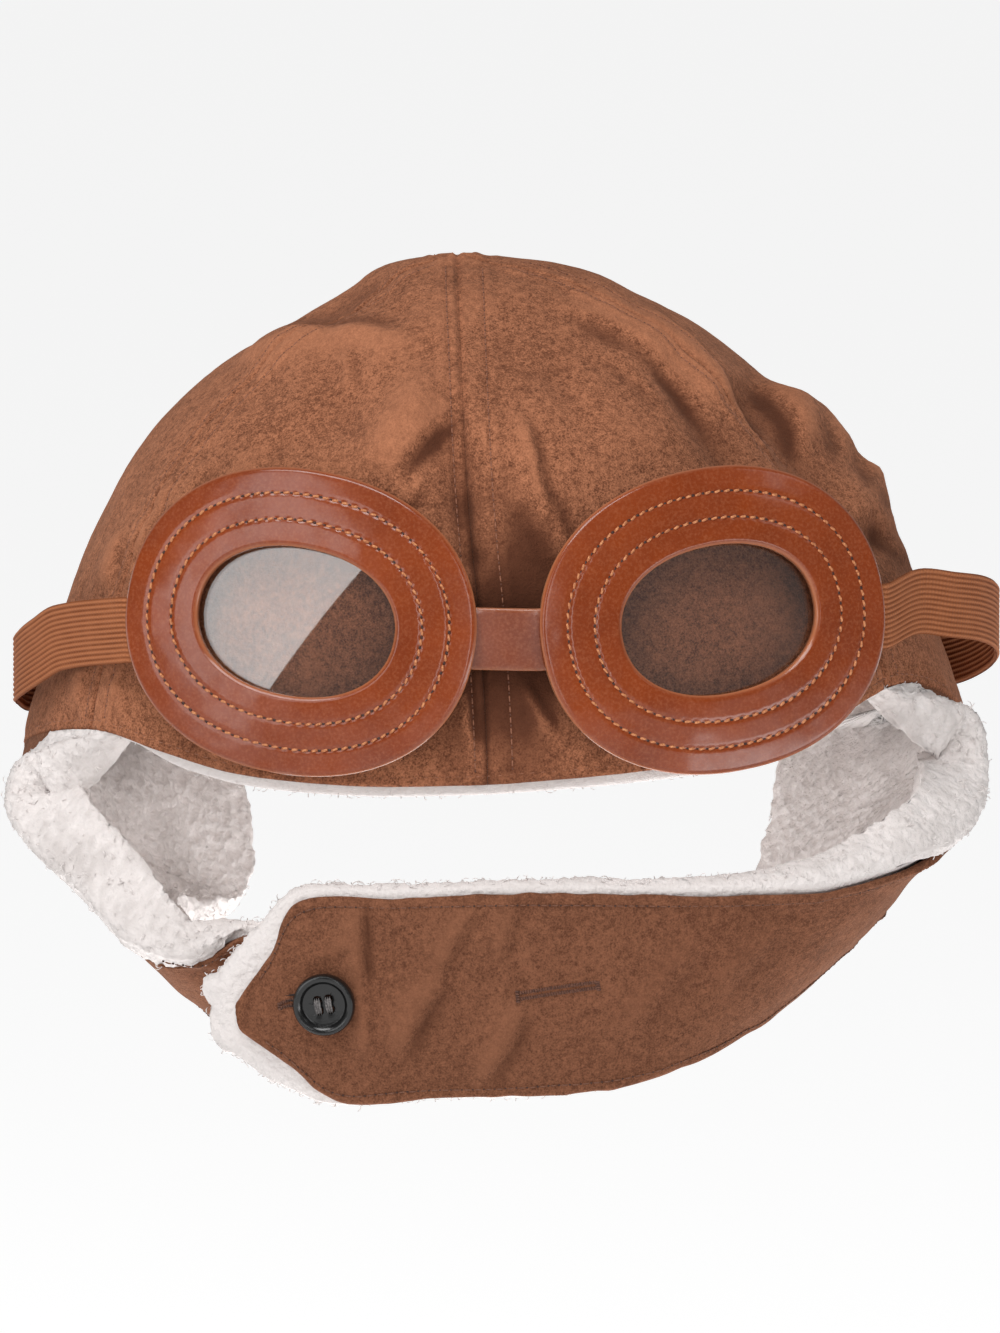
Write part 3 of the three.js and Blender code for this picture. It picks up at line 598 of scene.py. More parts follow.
def stitches(path, out, pitch, length, radius, lift, slant=0.0, shift=0.5, hole=0.0):
    """Capsules along a path of points with outward directions: the middle of each rises on a
    parabola over the cloth, and its radius closes to nothing at both ends. With the last flag at 1
    they are dark flat capsules that paint the shade in the needle holes between stitches."""
    along = run(path)
    count = int(along[-1] / pitch + 1e-6)
    centres = (np.arange(count) + shift) * pitch

    def at_centres(values):
        return np.stack([np.interp(centres, along, values[:, k]) for k in range(3)], -1)
    middle, normal = at_centres(path), unit(at_centres(out))
    ahead = unit(at_centres(np.gradient(path, axis=0)))
    aside = unit(np.cross(normal, ahead))
    ahead = unit(ahead + slant * aside)
    aside = unit(np.cross(normal, ahead))
    u = np.linspace(-1, 1, STITCH_RINGS)
    v = np.arange(STITCH_SIDES) * math.pi * 2 / STITCH_SIDES
    grid_u, grid_v = np.meshgrid(u, v, indexing="ij")
    swell = radius * np.sqrt(np.maximum(1 - grid_u ** 4, 0))
    height = lift * (1 - grid_u ** 2) - SUNK + swell * np.sin(grid_v)
    sideways = swell * np.cos(grid_v)
    forwards = grid_u * length / 2
    terms = [(ahead, forwards), (aside, sideways), (normal, height)]
    strands = middle[:, None, None] + sum(axis[:, None, None] * s[None, ..., None] for axis, s in terms)
    return strands.reshape(-1, 3), tubes(count, *grid_u.shape), np.full(count * grid_u.size, hole)


def sewn_row(path, out, pitch, length, radius, lift, slant=0.0, pit=0.26):
    """A row of stitches with a flat dark capsule between each two, painted shade for the needle holes."""
    holes = stitches(path, out, pitch, pit * 2.6, pit, 0.02, shift=0.0, hole=1.0)
    return [stitches(path, out, pitch, length, radius, lift, slant), holes]


def sew(name, rows):
    """One piece of many rows of stitches."""
    points, faces, holes = zip(*rows)
    starts = np.cumsum([0, *map(len, points[:-1])])
    faces = np.concatenate([part + start for part, start in zip(faces, starts)])
    return make(name, np.concatenate(points), faces, hole=np.concatenate(holes))


def on_crown(turn, rise):
    """Points on the outside of the crown's cloth, and the directions out of it."""
    p, normal, relief = crown_relief(turn, rise)
    return p + normal * (fold_depth(p) + relief)[..., None], normal


def seam_row(seam, off):
    """A row of stitches at that distance from a seam, from the hem towards the top."""
    rise = np.linspace(0.02, 0.93, 160)
    _, _, metric = crown_frame(np.full_like(rise, seam), rise)
    return sewn_row(*on_crown(seam + off / metric, rise), STITCH, STITCH * 0.7, STITCH_RADIUS, 0.18)


def thread(name, pale, deep, hole, roughness=0.75):
    """Twisted sewing thread: two tones in patches as fine as its twist, and a dark colour that paints
    the shade in needle holes.
    """
    m = Material(name)
    twist = m.noise(0.5, 1, 0.5)
    tone = m.mix(m.between(0.35, 0.65, twist), deep, pale)
    tone = m.mix(m.attribute("hole"), tone, hole)
    return m.finish(Base_Color=tone, Roughness=roughness, Normal=m.bumps(twist, 0.12))


brown_thread = thread("brown_thread", (0.31, 0.125, 0.066), (0.2, 0.075, 0.04), (0.11, 0.04, 0.022))
hem_turns = np.linspace(-math.pi, math.pi, 900)
rows = []
# The back seam is at 180 degrees from its left and at -180 from its right.
for from_left, from_right in zip(SEAM_TURNS[1:], np.roll(SEAM_TURNS[:-1], -1)):
    rows += seam_row(from_left, SEAM_ROWS[0]) + seam_row(from_right, SEAM_ROWS[1])
hem_rise = np.arcsin(HEM_ROW / (CROWN_TOP - hem_height(hem_turns))) * 2 / math.pi
rows.append(stitches(*on_crown(hem_turns, hem_rise), STITCH, STITCH * 0.8, STITCH_RADIUS, 0.12))
crown_stitches = sew("crown_stitches", rows)
dress(crown_stitches, brown_thread)

# Crown lining
# White fleece with a curly pile, sewn in at the hem, where a little of it shows below the cloth.
FIT_GAP = 0.3
CROWN_PILE = 6.5
LINING_BELOW_HEM = 2
HIDDEN_ROOM = 1.4
RIGHT_HEM = np.radians([60, 136])
LEFT_HEM = np.radians([56, 140.5])


CLUMP_MEAN = 0.6


def clumps(p, size, seed):
    """Curly pile: 1 at the middle of each clump and 0 in the creases between clumps, from the
    distances to the two nearest of a lattice of shifted places."""
    warp = np.stack([waves(p, size * 1.3, seed + k) for k in (1, 2, 3)], -1)
    q = (p + 0.35 * size * warp) / size
    cell = np.floor(q).astype(np.int64)
    near = np.full(p.shape[:-1], 9.0)
    next_near = np.full(p.shape[:-1], 9.0)
    for corner in np.ndindex(3, 3, 3):
        there = cell + np.array(corner) - 1
        shift = np.stack([scatter(there, seed + k) for k in (11, 12, 13)], -1)
        distance = np.linalg.norm(there + shift - q, axis=-1)
        next_near = np.minimum(next_near, np.maximum(near, distance))
        near = np.minimum(near, distance)
    return np.sqrt(np.clip((next_near - near) * 1.6, 0, 1))


def pile_height(p, size, seed):
    """How far the pile stands above its mean: clumps of two sizes on slow swells."""
    large = clumps(p, size, seed) - CLUMP_MEAN
    small = clumps(p, size * 0.55, seed + 5) - CLUMP_MEAN
    return 1.1 * large + 0.5 * small + 0.6 * waves(p, 11, seed + 9)


def fleece(name, tint, shade):
    """Curly pile: pale curls with painted shade between them, where the relief attribute is low, and a
    soft fuzz that catches light at the rim.
    """
    m = Material(name)
    curls = m.noise(1.5, 3, 0.6)
    relief = m.attribute("relief")
    tone = m.mix(m.between(0.25, -0.75, relief) * 0.8, tint, shade)
    tone = m.mix(0.16 * m.between(0.6, 0.35, curls), tone, shade)
    coils = m.cells("SMOOTH_F1", 620)
    surface = m.bumps(curls, 0.7, m.bumps(coils, 0.45))
    return m.finish(
        Base_Color=tone, Roughness=1.0, Normal=surface, Sheen_Weight=0.25, Sheen_Roughness=0.7,
        Specular_IOR_Level=0.05,
    )


white_fleece = fleece("white_fleece", (0.77, 0.715, 0.695), (0.54, 0.49, 0.47))


def lining_below(turn):
    """How far the lining hangs below the hem: not at all where a flap is sewn on."""
    low = np.where(turn < 0, LEFT_HEM[0], RIGHT_HEM[0])
    high = np.where(turn < 0, LEFT_HEM[1], RIGHT_HEM[1])
    clear = np.degrees(np.maximum(low - np.abs(turn), np.abs(turn) - high))
    return LINING_BELOW_HEM * ease(clear / 10 - 0.2)


# The lining's section goes down the hidden side, round a lip that sags a little, and up the inside.
LINING_TURNS = np.linspace(-math.pi, math.pi, 320)[:-1]
OUTSIDE = 22
INSIDE = 76
LIP_SAG = 1.2
lip = np.linspace(0, math.pi, 9)[1:-1]
rise = np.concatenate([np.linspace(1, 0, OUTSIDE), 0 * lip, np.linspace(0, 1, INSIDE) ** 1.15])
depth = np.concatenate([np.zeros(OUTSIDE), (1 - np.cos(lip)) / 2, np.ones(INSIDE)])
depth = depth * (CROWN_PILE - HIDDEN_ROOM)
sag = np.concatenate([np.zeros(OUTSIDE), np.sin(lip) * LIP_SAG, np.zeros(INSIDE)])
turn, rise = np.meshgrid(LINING_TURNS, rise)
depth, sag = (np.broadcast_to(v[:, None], turn.shape) for v in (depth, sag))
base = crown_wall(turn, rise, CLOTH + FIT_GAP + HIDDEN_ROOM + depth, lining_below(turn))
inside = ease(depth / CROWN_PILE)
pile = pile_height(base, 3.4, 20) * inside
_, normal, _ = crown_frame(turn, rise)
curly = base - normal * (pile * inside)[..., None]
curly[..., 2] -= sag * (1 + 0.5 * pile)
fringe = np.broadcast_to(bump(rise, 0.03), turn.shape)
crown_fleece = make("crown_fleece", curly, tube(*turn.shape), relief=pile, fringe=fringe)
dress(crown_fleece, white_fleece, "crown_lining")

# Ear flaps and chin strap
# Each flap is one piece of the same cloth with thicker fleece behind it. It hangs from the hem
# and runs on into its half of the chin strap, and the fleece stands out past its turned edges.
FLAP_GAP = 0.05
FLAP_FIT_GAP = 0.7
# One row for each section: the side that frames the face, the middle, the side at the nape and
# under the chin, the thickness of the fleece, how far it stands out at each side, and the share of
# the width over which it rolls out over the cloth at the face. The last four columns have names.
THICK, FACE_OUT, NAPE_OUT, ROLL = 9, 10, 11, 12
RIGHT_ROWS = np.array([
    (109, -44, 13.5, 112, 12, -9.7, 75.5, 73, -31, 8, 0.5, 0.5, 0.07),
    (116, -42, 8.5, 110, 14, -17, 73.5, 67.5, -46, 9.5, 2, 2, 0.045),
    (118, -44, -2, 107, 8, -24, 79, 55, -53.5, 10, 2, 2, 0.04),
    (116, -54, -11, 101.5, -8, -30, 87, 31, -52, 10, 2, 2, 0.04),
    (109, -68, -18.5, 100, -30, -31, 93, 2, -44, 9, 2, 2, 0.02),
    (96, -82, -23.5, 95, -57, -34, 91, -28, -42.5, 8, 1.7, 1.7, 0),
    (78, -94, -26, 82, -77, -40, 79, -57, -50, 7, 1.5, 1.5, 0),
    (52, -102.5, -25, 59, -94.5, -46, 59, -82, -62.5, 6, 1.5, 1.5, 0),
    (26, -107, -24.3, 31, -104, -48.5, 33, -97.5, -71.3, 6, 1.5, 1.5, 0),
    (1, -108, -24, 3, -107.5, -49.5, 6, -104, -73.3, 6, 1.5, 1.5, 0),
    (-23, -107, -24.8, -20, -107.5, -50, -18, -104, -74, 5, 1.5, 1.5, 0),
    (-46, -103, -26.5, -43, -105, -51, -37, -101, -75, 5, 2.5, 2, 0),
    (-54, -100.5, -40, -53, -101.5, -53, -50, -99, -65.5, 5, 6.5, 7, 0),
    (-61, -97.5, -51, -61.5, -97.5, -54, -60, -97.4, -58.5, 5, 8, 7, 0),
])
LEFT_ROWS = np.array([
    (-104, -50, 4, -111.5, 10, -14, -67.5, 77, -31, 8, 0.5, 0.5, 0.14),
    (-113.5, -46, 1, -110, 12, -22, -68.5, 70.5, -46.5, 9.5, 2, 2, 0.12),
    (-117.5, -48, -10, -107, 6, -32, -74, 57, -55, 10, 2, 2, 0.12),
    (-111.5, -56, -19.5, -98.5, -6, -37, -79.5, 32, -55, 10, 1.5, 1.5, 0.15),
    (-100.2, -68, -28, -92.5, -30, -41.5, -82, 2, -51, 9, 1, 1, 0.2),
    (-87, -80, -40, -83, -52, -48, -78.5, -27, -51.5, 8, 1.3, 1.3, 0.2),
    (-74, -86, -42.5, -73.5, -66, -54, -71, -48, -58.5, 6.5, 1.5, 1.5, 0.1),
    (-60, -87.5, -37, -60, -82, -54, -58, -71, -67, 5, 1.5, 1.5, 0),
    (-45, -93.5, -34, -45, -94, -54, -44, -89.5, -72, 5, 1, 1, 0),
    (-31, -96, -33, -31, -97, -54, -31, -93, -72.5, 5, 1, 1, 0),
    (-20, -97, -37, -18, -98, -54, -20, -94.5, -70, 5, 1, 1, 0),
])


class Flap:
    """One flap and its half of the strap. place counts the sections down from the hem, and across
    goes from 0 at the side that frames the face to 1 at the other."""

    def __init__(self, side, hem, rows):
        self.side = side
        self.hem = hem
        ends = [crown_wall(self.turn(a), 0.0, 0.0) for a in (0, 0.5, 1)]
        self.rows = np.vstack([np.concatenate([*ends, [CROWN_PILE, 0, 0, rows[0, ROLL] + 0.03]]), rows])
        self.places = np.arange(len(self.rows), dtype=float)
        self.last = len(self.rows) - 1

    def turn(self, across):
        return self.side * (self.hem[0] + (self.hem[1] - self.hem[0]) * across)

    def read(self, column, place):
        return smooth(self.places, self.rows[:, column], place)

    @staticmethod
    def parabola(edge, middle, under, across):
        across = across[..., None]
        bow = 4 * across * (1 - across)
        return edge * (1 - across) * (1 - 2 * across) + middle * bow + under * across * (2 * across - 1)

    def surface(self, place, across):
        """The outside of the flap: a parabola through each section's three points, which near the
        top is bent to the hem of the crown."""
        place, across = np.broadcast_arrays(np.asarray(place, float), np.asarray(across, float))
        ends = [np.stack([self.read(3 * k + axis, place) for axis in range(3)], -1) for k in range(3)]
        top = [self.rows[0, 3 * k:3 * k + 3] for k in range(3)]
        bend = crown_wall(self.turn(across), 0.0 * across, 0.0) - self.parabola(*top, across)
        return self.parabola(*ends, across) + bend * (np.clip(1 - place, 0, 1) ** 2)[..., None]

    def down(self, place, across):
        """A short step down the flap."""
        return self.surface(place + 0.02, across) - self.surface(place - 0.02, across)

    def chord(self, place):
        """From the side that frames the face straight to the other."""
        return self.surface(place, 1.0) - self.surface(place, 0.0)

    def normal(self, place, across):
        """The direction out of the flap, from the steps down it and across it. Near the end, where
        both run alike along its slanting sides, it comes more and more from its middle line."""
        back = self.surface(place, across + 0.01) - self.surface(place, across - 0.01)
        local = unit(np.cross(self.down(place, across), back))
        middle = unit(np.cross(self.down(place, 0.5), self.chord(place)))
        near_end = ease((place - self.last + 2.5) / 1.5)[..., None]
        return unit(local + (middle - local) * near_end) * self.side

    def wall(self, place, across, inset):
        """A point at that depth under the outside, which at the hem is the crown's own wall."""
        place, across, inset = np.broadcast_arrays(place, across, inset)
        free = self.surface(place, across) - self.normal(place, across) * inset[..., None]
        held = crown_wall(self.turn(np.clip(across, 0, 1)), 0.0 * across, inset)
        held = held - np.array([0, 0, FLAP_GAP])
        return held + (free - held) * ease(place / 0.5)[..., None]

    def sideways(self, place, across):
        """The direction out past the nearer side, square to its course and within the surface."""
        rim = np.where(across < 0.5, 0.0, 1.0)
        out = unit(np.cross(self.down(place, rim), self.normal(place, rim)))
        return out * (self.side * np.where(across < 0.5, 1, -1))[..., None]

    def onwards(self):
        """The direction on past the end of the strap."""
        return unit(self.surface(self.last, 0.5) - self.surface(self.last - 0.3, 0.5))


left_flap = Flap(-1, LEFT_HEM, LEFT_ROWS)
right_flap = Flap(1, RIGHT_HEM, RIGHT_ROWS)
# The crown's cloth, painted darker: painted shade for the strap, which faces down.
strap_suede = suede("strap_suede", (0.245, 0.1, 0.054), (0.16, 0.064, 0.035), (0.092, 0.035, 0.019))
# Lapped folds of the strap, as on the crown.
STRAP_TUCKS = np.array([
    (-31.5, -64, -32.5, -38, 0.5, 5, 3),
    (-30, -80, -32, -58, 0, 4.5, 1.5),
    (-44, -55, -33, -49, 0, 4, 1),
    (-15, -60, -3, -39, 1, 6, 1.6),
    (-24, -80, -10, -56, 2, 7, 2.4),
    (-6, -86, 8, -62, -1, 7, 2),
    (0, -57, 5, -39, 0, 5, 1.2),
    (28, -76, 54, -45, 2, 10, 1),
    (50, -67, 72, -44, 2, 9, 0.9),
    (-76, -54, -58, -57, 0, 4, 1.2),
])
STRAP_SWELLS = ((0.5, 19, 31), (0.3, 7, 32), (0.07, 2.4, 33))
EDGE_WANDER = ((0.5, 13, 41), (0.25, 4, 42))
TURNED_WIDTH = 4.6
ROUND_OFF = 0.45


def flap_grid(flap, place_steps, across_steps):
    """Places and crosswise shares of a grid over the cloth that the fleece leaves bare."""
    place = np.linspace(0, flap.last, place_steps)
    place, share = np.meshgrid(place, crowded(across_steps, 0.5), indexing="ij")
    rolled = np.maximum(flap.read(ROLL, place), 0)
    return place, rolled + (1 - rolled) * share


def strap_relief(p, flap, place, across):
    """Folds, slow waves and the turned edges of a flap's cloth, the distance from its edges, and the
    light and shade painted into its nap: darker where it sinks, lighter where it rises, and that of
    the tucks."""
    edge = np.minimum(across, 1 - across) * np.linalg.norm(flap.chord(place), axis=-1)
    relief, painted_shading = tuck_depth(p, STRAP_TUCKS)
    relief = relief + swells(p, STRAP_SWELLS) + 0.25 * waves(p, 4, 34) * ease((8 - edge) / 6)
    relief = relief + 0.35 * ease((TURNED_WIDTH - edge) / 1.4) - 0.35 * bump(edge - 3, 0.7)
    return relief * ease(place * 2.5), edge, 0.5 * relief + TUCK_PAINTED_SHADING * painted_shading


def flap_cloth(name, node, flap, place_steps, across_steps):
    """The flap's cloth, with relief outside, turned edges that wander a little, and a plain back."""
    place, across = flap_grid(flap, place_steps, across_steps)
    base = flap.wall(place, across, 0.0)
    normal = flap.normal(place, across)
    relief, edge, painted_shading = strap_relief(base, flap, place, across)
    wander = swells(base, EDGE_WANDER) * bump(edge, 5) * ease(place - 0.6)
    drift = flap.sideways(place, across) * wander[..., None]
    rounded = bump(edge, ROUND_OFF)
    outer = base + normal * (relief - ROUND_OFF * rounded)[..., None] + drift
    inner = flap.wall(place, across, CLOTH) + normal * 0.25 * rounded[..., None] + drift
    points, faces = shell(outer, inner)
    # The relief attribute carries the strap's painted shade and highlights.
    piece = make(name, points, faces, relief=np.tile(painted_shading.ravel(), 2))
    dress(piece, strap_suede, node)


flap_cloth("left_flap_suede", "left_flap_cloth", left_flap, 190, 60)
flap_cloth("right_flap_suede", "right_flap_cloth", right_flap, 300, 64)


def softened(points, rounds):
    """Rows of points that are drawn towards the mean of both neighbours that many times."""
    for _ in range(rounds):
        bend = (points[2:] - 2 * points[1:-1] + points[:-2]) / 4
        points = np.concatenate([points[:1], points[1:-1] + bend, points[-1:]])
    return points


def flap_loop():
    """The section of the fleece as a loop of columns: crosswise share of what is lined, share of
    its depth, how far round a rim, how far outside the cloth, and how much of the rolled share it
    passes. It runs from the face over the cloth, back under it, round the other rim, over the pile
    and round the rim at the face."""
    rim = np.linspace(0, 1, 13)
    pile = crowded(120, 0.55)[::-1][1:-1]
    over = np.linspace(0, 1, 24)
    return np.concatenate([
        np.stack([0 * over, 0 * over, 0 * over, over * 0 + 1, over], -1),
        [(0, 0, 0, 0.75, 1.06), (0, 0, 0, 0.3, 1.06), (0, 0, 0, 0.1, 0.98)],
        [(share, 0, 0, 0, 1) for share in np.linspace(0.02, 0.98, 9)],
        np.stack([rim * 0 + 1, rim, np.sin(math.pi * rim), 0 * rim, 0 * rim + 1], -1),
        [(share, 1, 0, 0, 0) for share in pile],
        np.stack([0 * rim, 1 - rim, np.sin(math.pi * rim), rim, 0 * rim], -1)[:-1],
    ]).T


NOSE_ROWS = 8
SMOOTHING_ROUNDS = 70
SEWN_UP = 2.5
NAPE_TUCK = 1.6


def flap_fleece(name, node, flap, place_steps, roll, swell):
    """The flap's fleece: a loop carried down the flap, with curly pile, a swollen lip at the face
    that rolls out over the cloth's edge, a flat top sewn in at the hem, and past the end of the
    strap a nose whose section is a quarter of an ellipse."""
    top_rows = place_steps + 2
    places = np.concatenate([[0, 0], np.linspace(0, flap.last, place_steps), [flap.last] * NOSE_ROWS])
    nose = np.linspace(0.12, 1, NOSE_ROWS) * math.pi / 2
    beyond = np.concatenate([np.zeros(top_rows), np.sin(nose)])
    narrow = np.concatenate([np.ones(top_rows), np.cos(nose)])
    drawn_in = (np.arange(len(places)) == 0)[:, None]
    grid = np.broadcast_arrays(places[:, None], *flap_loop())
    place, share, depth, round_rim, outside, bare = grid
    rolled = np.maximum(flap.read(ROLL, place), 0)
    across = share + (1 - share) * rolled * bare
    outside = outside * ease(rolled / 0.02)
    thick = flap.read(THICK, place) * ease(0.75 + 0.25 * place)
    tucked = NAPE_TUCK * ease((place - 5) / 2) * ease((12.4 - place) / 0.8)
    past = np.where(across < 0.5, flap.read(FACE_OUT, place), flap.read(NAPE_OUT, place) - tucked)
    rim = np.minimum(across, 1 - across)
    fold = ease(place + 0.3) * ease((8 - place) / 2)
    crease = 0.12 * bump(across - 0.2, 0.05)
    lip = 1 + 0.1 * bump(rim, 0.04) + fold * (swell * bump(across, 0.13) - crease)
    level = np.where(drawn_in, 0.5, depth * lip)
    wrap = roll * np.sin(math.pi * np.minimum(depth / 0.6, 1)) * round_rim * (across < 0.5) * fold
    inset = (CLOTH + FLAP_FIT_GAP + level * thick - wrap) * (1 - outside)
    base = flap.wall(place, across, inset)
    base = base + ((1 - outside) * SEWN_UP * ease(1 - place / 0.35))[..., None] * np.array([0, 0, 1])
    edges = ease(round_rim + ease((0.04 - rim) / 0.04))
    reach = (np.maximum(past, 0) * edges + 0.22 * thick * round_rim) * ease(place * 4 + 0.3)
    base = base + flap.sideways(place, across) * reach[..., None]
    softness = ease(place * 2) * ease((4 - place) / 1.5)
    base = base + (softened(base, SMOOTHING_ROUNDS) - base) * softness[..., None]
    centre = base.mean(axis=1, keepdims=True)
    base = centre + (base - centre) * narrow[:, None, None]
    base = base + flap.onwards() * (flap.rows[-1, FACE_OUT] * beyond)[:, None, None]
    visible = np.maximum(np.maximum(ease(depth * 1.6 - 0.6), round_rim), outside)
    pile = pile_height(base, 3.6, 50) * visible
    out = np.cross(np.roll(base, -1, 1) - np.roll(base, 1, 1), np.gradient(base, axis=0))
    curly = base + unit(out) * flap.side * (pile * ease(place * 6 + 0.5))[..., None]
    middle = base.mean(axis=1, keepdims=True)
    curly[0] = middle[0]
    curly[-1] = middle[-1]
    fringe = np.clip(round_rim + ease((place - flap.last + 0.5) * 2), 0, 1)
    piece = make(name, curly, tube(*place.shape), relief=pile, fringe=fringe)
    dress(piece, white_fleece, node)
    return piece


left_fleece = flap_fleece("left_flap_fleece", "left_flap_lining", left_flap, 160, 2.5, 0.5)
right_fleece = flap_fleece("right_flap_fleece", "right_flap_lining", right_flap, 240, 2, 0.4)

# Goggle rims, backings and lenses
# Each goggle is a ring of smooth tan leather with a bound edge, sewn with two rows of thread to a
# ring of paler leather behind it, and a clear sheet is held between the two.
GOGGLE_OUTER = np.array([43.2, 35.7])
GOGGLE_OPENING = np.array([24.3, 17.3])
RIM_WIDTH = (GOGGLE_OUTER - GOGGLE_OPENING)[0]
BACKING_OPENING = np.array([26, 19])
LENS = np.array([28.5, 21.5])
GOGGLE_TILT = math.radians(9)
GOGGLE_PITCH = math.radians(10)
BEND = np.array([150.0, 190.0])
BACKING = 1.4
SLOT = 1.6
LEATHER = 2.2
SHEET = 1
ROUNDNESS = 2.15
ROW_INSETS = (6.3, 12.6)
RIM_STITCH = 2.4
RIM_SWELLS = ((0.1, 9, 61), (0.02, 2.6, 62))


class Goggle:
    """One goggle: a place, a yaw, and a sheet bent round the face both ways."""

    def __init__(self, name, side, place, yaw):
        self.name = name
        self.side = side
        self.place = np.array(place)
        c, s = math.cos(math.radians(yaw)), math.sin(math.radians(yaw))
        cp, sp = math.cos(-GOGGLE_PITCH), math.sin(-GOGGLE_PITCH)
        turned = np.array([[c, -s, 0], [s, c, 0], [0, 0, 1]])
        self.axes = turned @ np.array([[1, 0, 0], [0, cp, -sp], [0, sp, cp]])

    def point(self, across, up, depth):
        """A point of the bent sheet, at a depth outwards from the back of the stack: arcs of the two
        bend radii, and the depth laid along the sheet's normal."""
        across, up, depth = np.broadcast_arrays(across, up, depth)
        turn, nod = across / BEND[0], up / BEND[1]
        back = BEND[0] * (1 - np.cos(turn)) + BEND[1] * (1 - np.cos(nod))
        x = (BEND[0] + depth) * np.sin(turn)
        y = back - depth * np.cos(turn) * np.cos(nod)
        z = (BEND[1] + depth) * np.sin(nod)
        return np.stack([x, y, z], -1) @ self.axes.T + self.place

    def oval(self, size, turn, depth):
        """A point on an oval in the sheet: a superellipse tilted down towards the nose."""
        power = 2 / ROUNDNESS
        x = size[..., 0] * np.sign(np.cos(turn)) * np.abs(np.cos(turn)) ** power
        z = size[..., 1] * np.sign(np.sin(turn)) * np.abs(np.sin(turn)) ** power
        c, s = math.cos(self.side * GOGGLE_TILT), math.sin(self.side * GOGGLE_TILT)
        return self.point(x * c - z * s, x * s + z * c, depth)


def sized(inset):
    """The oval that lies that far inside the goggle's outer edge, on the way to its opening."""
    share = np.asarray(inset / RIM_WIDTH)[..., None]
    return GOGGLE_OUTER + (GOGGLE_OPENING - GOGGLE_OUTER) * share


RING_TURNS = np.linspace(0, 2 * math.pi, 401)[:-1]


def closed_ring(rows, columns):
    """Faces of a grid that closes both ways: rows are the ring's section, columns go round."""
    return tube(rows + 1, columns) % (rows * columns)


def rim_height(inset, turn):
    """The front of the leather: flat with rounded edges, sunk along both rows of stitches, with a
    pit at the end of every stitch."""
    edge = np.minimum(inset, RIM_WIDTH - inset)
    height = LEATHER - 0.7 * bump(edge, 0.5)
    for row in ROW_INSETS:
        pits = 0.5 + 0.5 * np.cos(turn * stitch_count(row))
        height = height - (0.12 + 0.2 * pits ** 4) * bump(inset - row, 0.5)
    return height


def stitch_count(inset):
    """How many stitches go round the row at that inset."""
    size = sized(inset)
    girth = math.pi * (3 * size.sum() - math.sqrt((3 * size[0] + size[1]) * (size[0] + 3 * size[1])))
    return round(girth * 1.01 / RIM_STITCH)


def leather(name, pale, middle, deep, gloss):
    """Smooth finished leather: fine pebbled grain, cloudy dye, a lighter bound edge and a clear gloss
    that is worn duller in places."""
    m = Material(name)
    cloud = m.noise(16, 3, 0.55)
    pores = m.cells("F1", 1500)
    fine = m.noise(0.7, 3, 0.6, seed=2)
    worn = m.attribute("worn")
    tone = m.mix(m.between(0.3, 0.7, cloud), deep, middle)
    tone = m.mix(0.25 * m.between(0.45, 0.75, fine), tone, pale)
    tone = m.mix(worn, tone, pale)
    shine = gloss * (1 - 0.5 * m.between(0.45, 0.75, m.noise(7, 4, 0.6, seed=8)))
    grain = m.bumps(fine, 0.04, m.bumps(pores, 0.03, m.bumps(m.noise(6, 2, 0.5), 0.13)))
    return m.finish(
        Base_Color=tone, Roughness=0.6, Normal=grain, Specular_IOR_Level=0.08, Coat_Weight=shine,
        Coat_Roughness=0.15,
    )


tan_leather = leather("tan_leather", (0.45, 0.16, 0.07), (0.235, 0.036, 0.002), (0.17, 0.024, 0.001), 1)
raw_leather = leather("raw_leather", (0.42, 0.2, 0.11), (0.3, 0.13, 0.065), (0.2, 0.08, 0.04), 0.1)
tan_thread = thread("tan_thread", (0.62, 0.25, 0.1), (0.36, 0.11, 0.035), (0.035, 0.008, 0.003), 0.6)


def back_ring(goggle):
    """The leather ring behind: a flat section with rounded edges in front, carried round an oval."""
    width = (GOGGLE_OUTER - BACKING_OPENING)[0]
    round_off = 0.35
    insets = np.array([0, round_off, *np.linspace(2, width - 2, 5), width - round_off, width])
    front = np.full(len(insets), BACKING)
    front[[0, -1]] -= round_off
    share = np.concatenate([insets, insets[::-1]]) / width
    depth = np.concatenate([front, 0 * insets])
    size = GOGGLE_OUTER + (BACKING_OPENING - GOGGLE_OUTER) * share[:, None]
    points = goggle.oval(size[:, None], RING_TURNS[::2], depth[:, None])
    faces = closed_ring(*points.shape[:2])
    plain = np.zeros(points[..., 0].shape)
    return make(f"goggle_back_{goggle.name}", points, faces, worn=plain)


def front_ring(goggle):
    """The leather ring in front, with its relief, a soft unevenness and lighter edges."""
    front = np.concatenate([np.linspace(0, 1.2, 5), np.linspace(1.6, RIM_WIDTH - 1.6, 46)])
    front = np.concatenate([front, np.linspace(RIM_WIDTH - 1.2, RIM_WIDTH, 5)])
    inset = np.concatenate([front, np.linspace(RIM_WIDTH, 0, 6)])[:, None]
    is_front = (np.arange(len(inset)) < len(front))[:, None]
    height = np.where(is_front, rim_height(inset, RING_TURNS), 0.0)
    size = sized(inset[:, 0])[:, None]
    flat = goggle.oval(size, RING_TURNS, 0.0)
    uneven = swells(flat, RIM_SWELLS) * is_front
    points = goggle.oval(size, RING_TURNS, BACKING + SLOT + height + uneven)
    edge = np.minimum(inset, RIM_WIDTH - inset) + 0 * RING_TURNS
    worn = 0.7 * bump(edge, 0.4) * is_front + 0.8 * ~is_front
    faces = closed_ring(*points.shape[:2])
    return make(f"goggle_ring_{goggle.name}", points, faces, worn=worn)


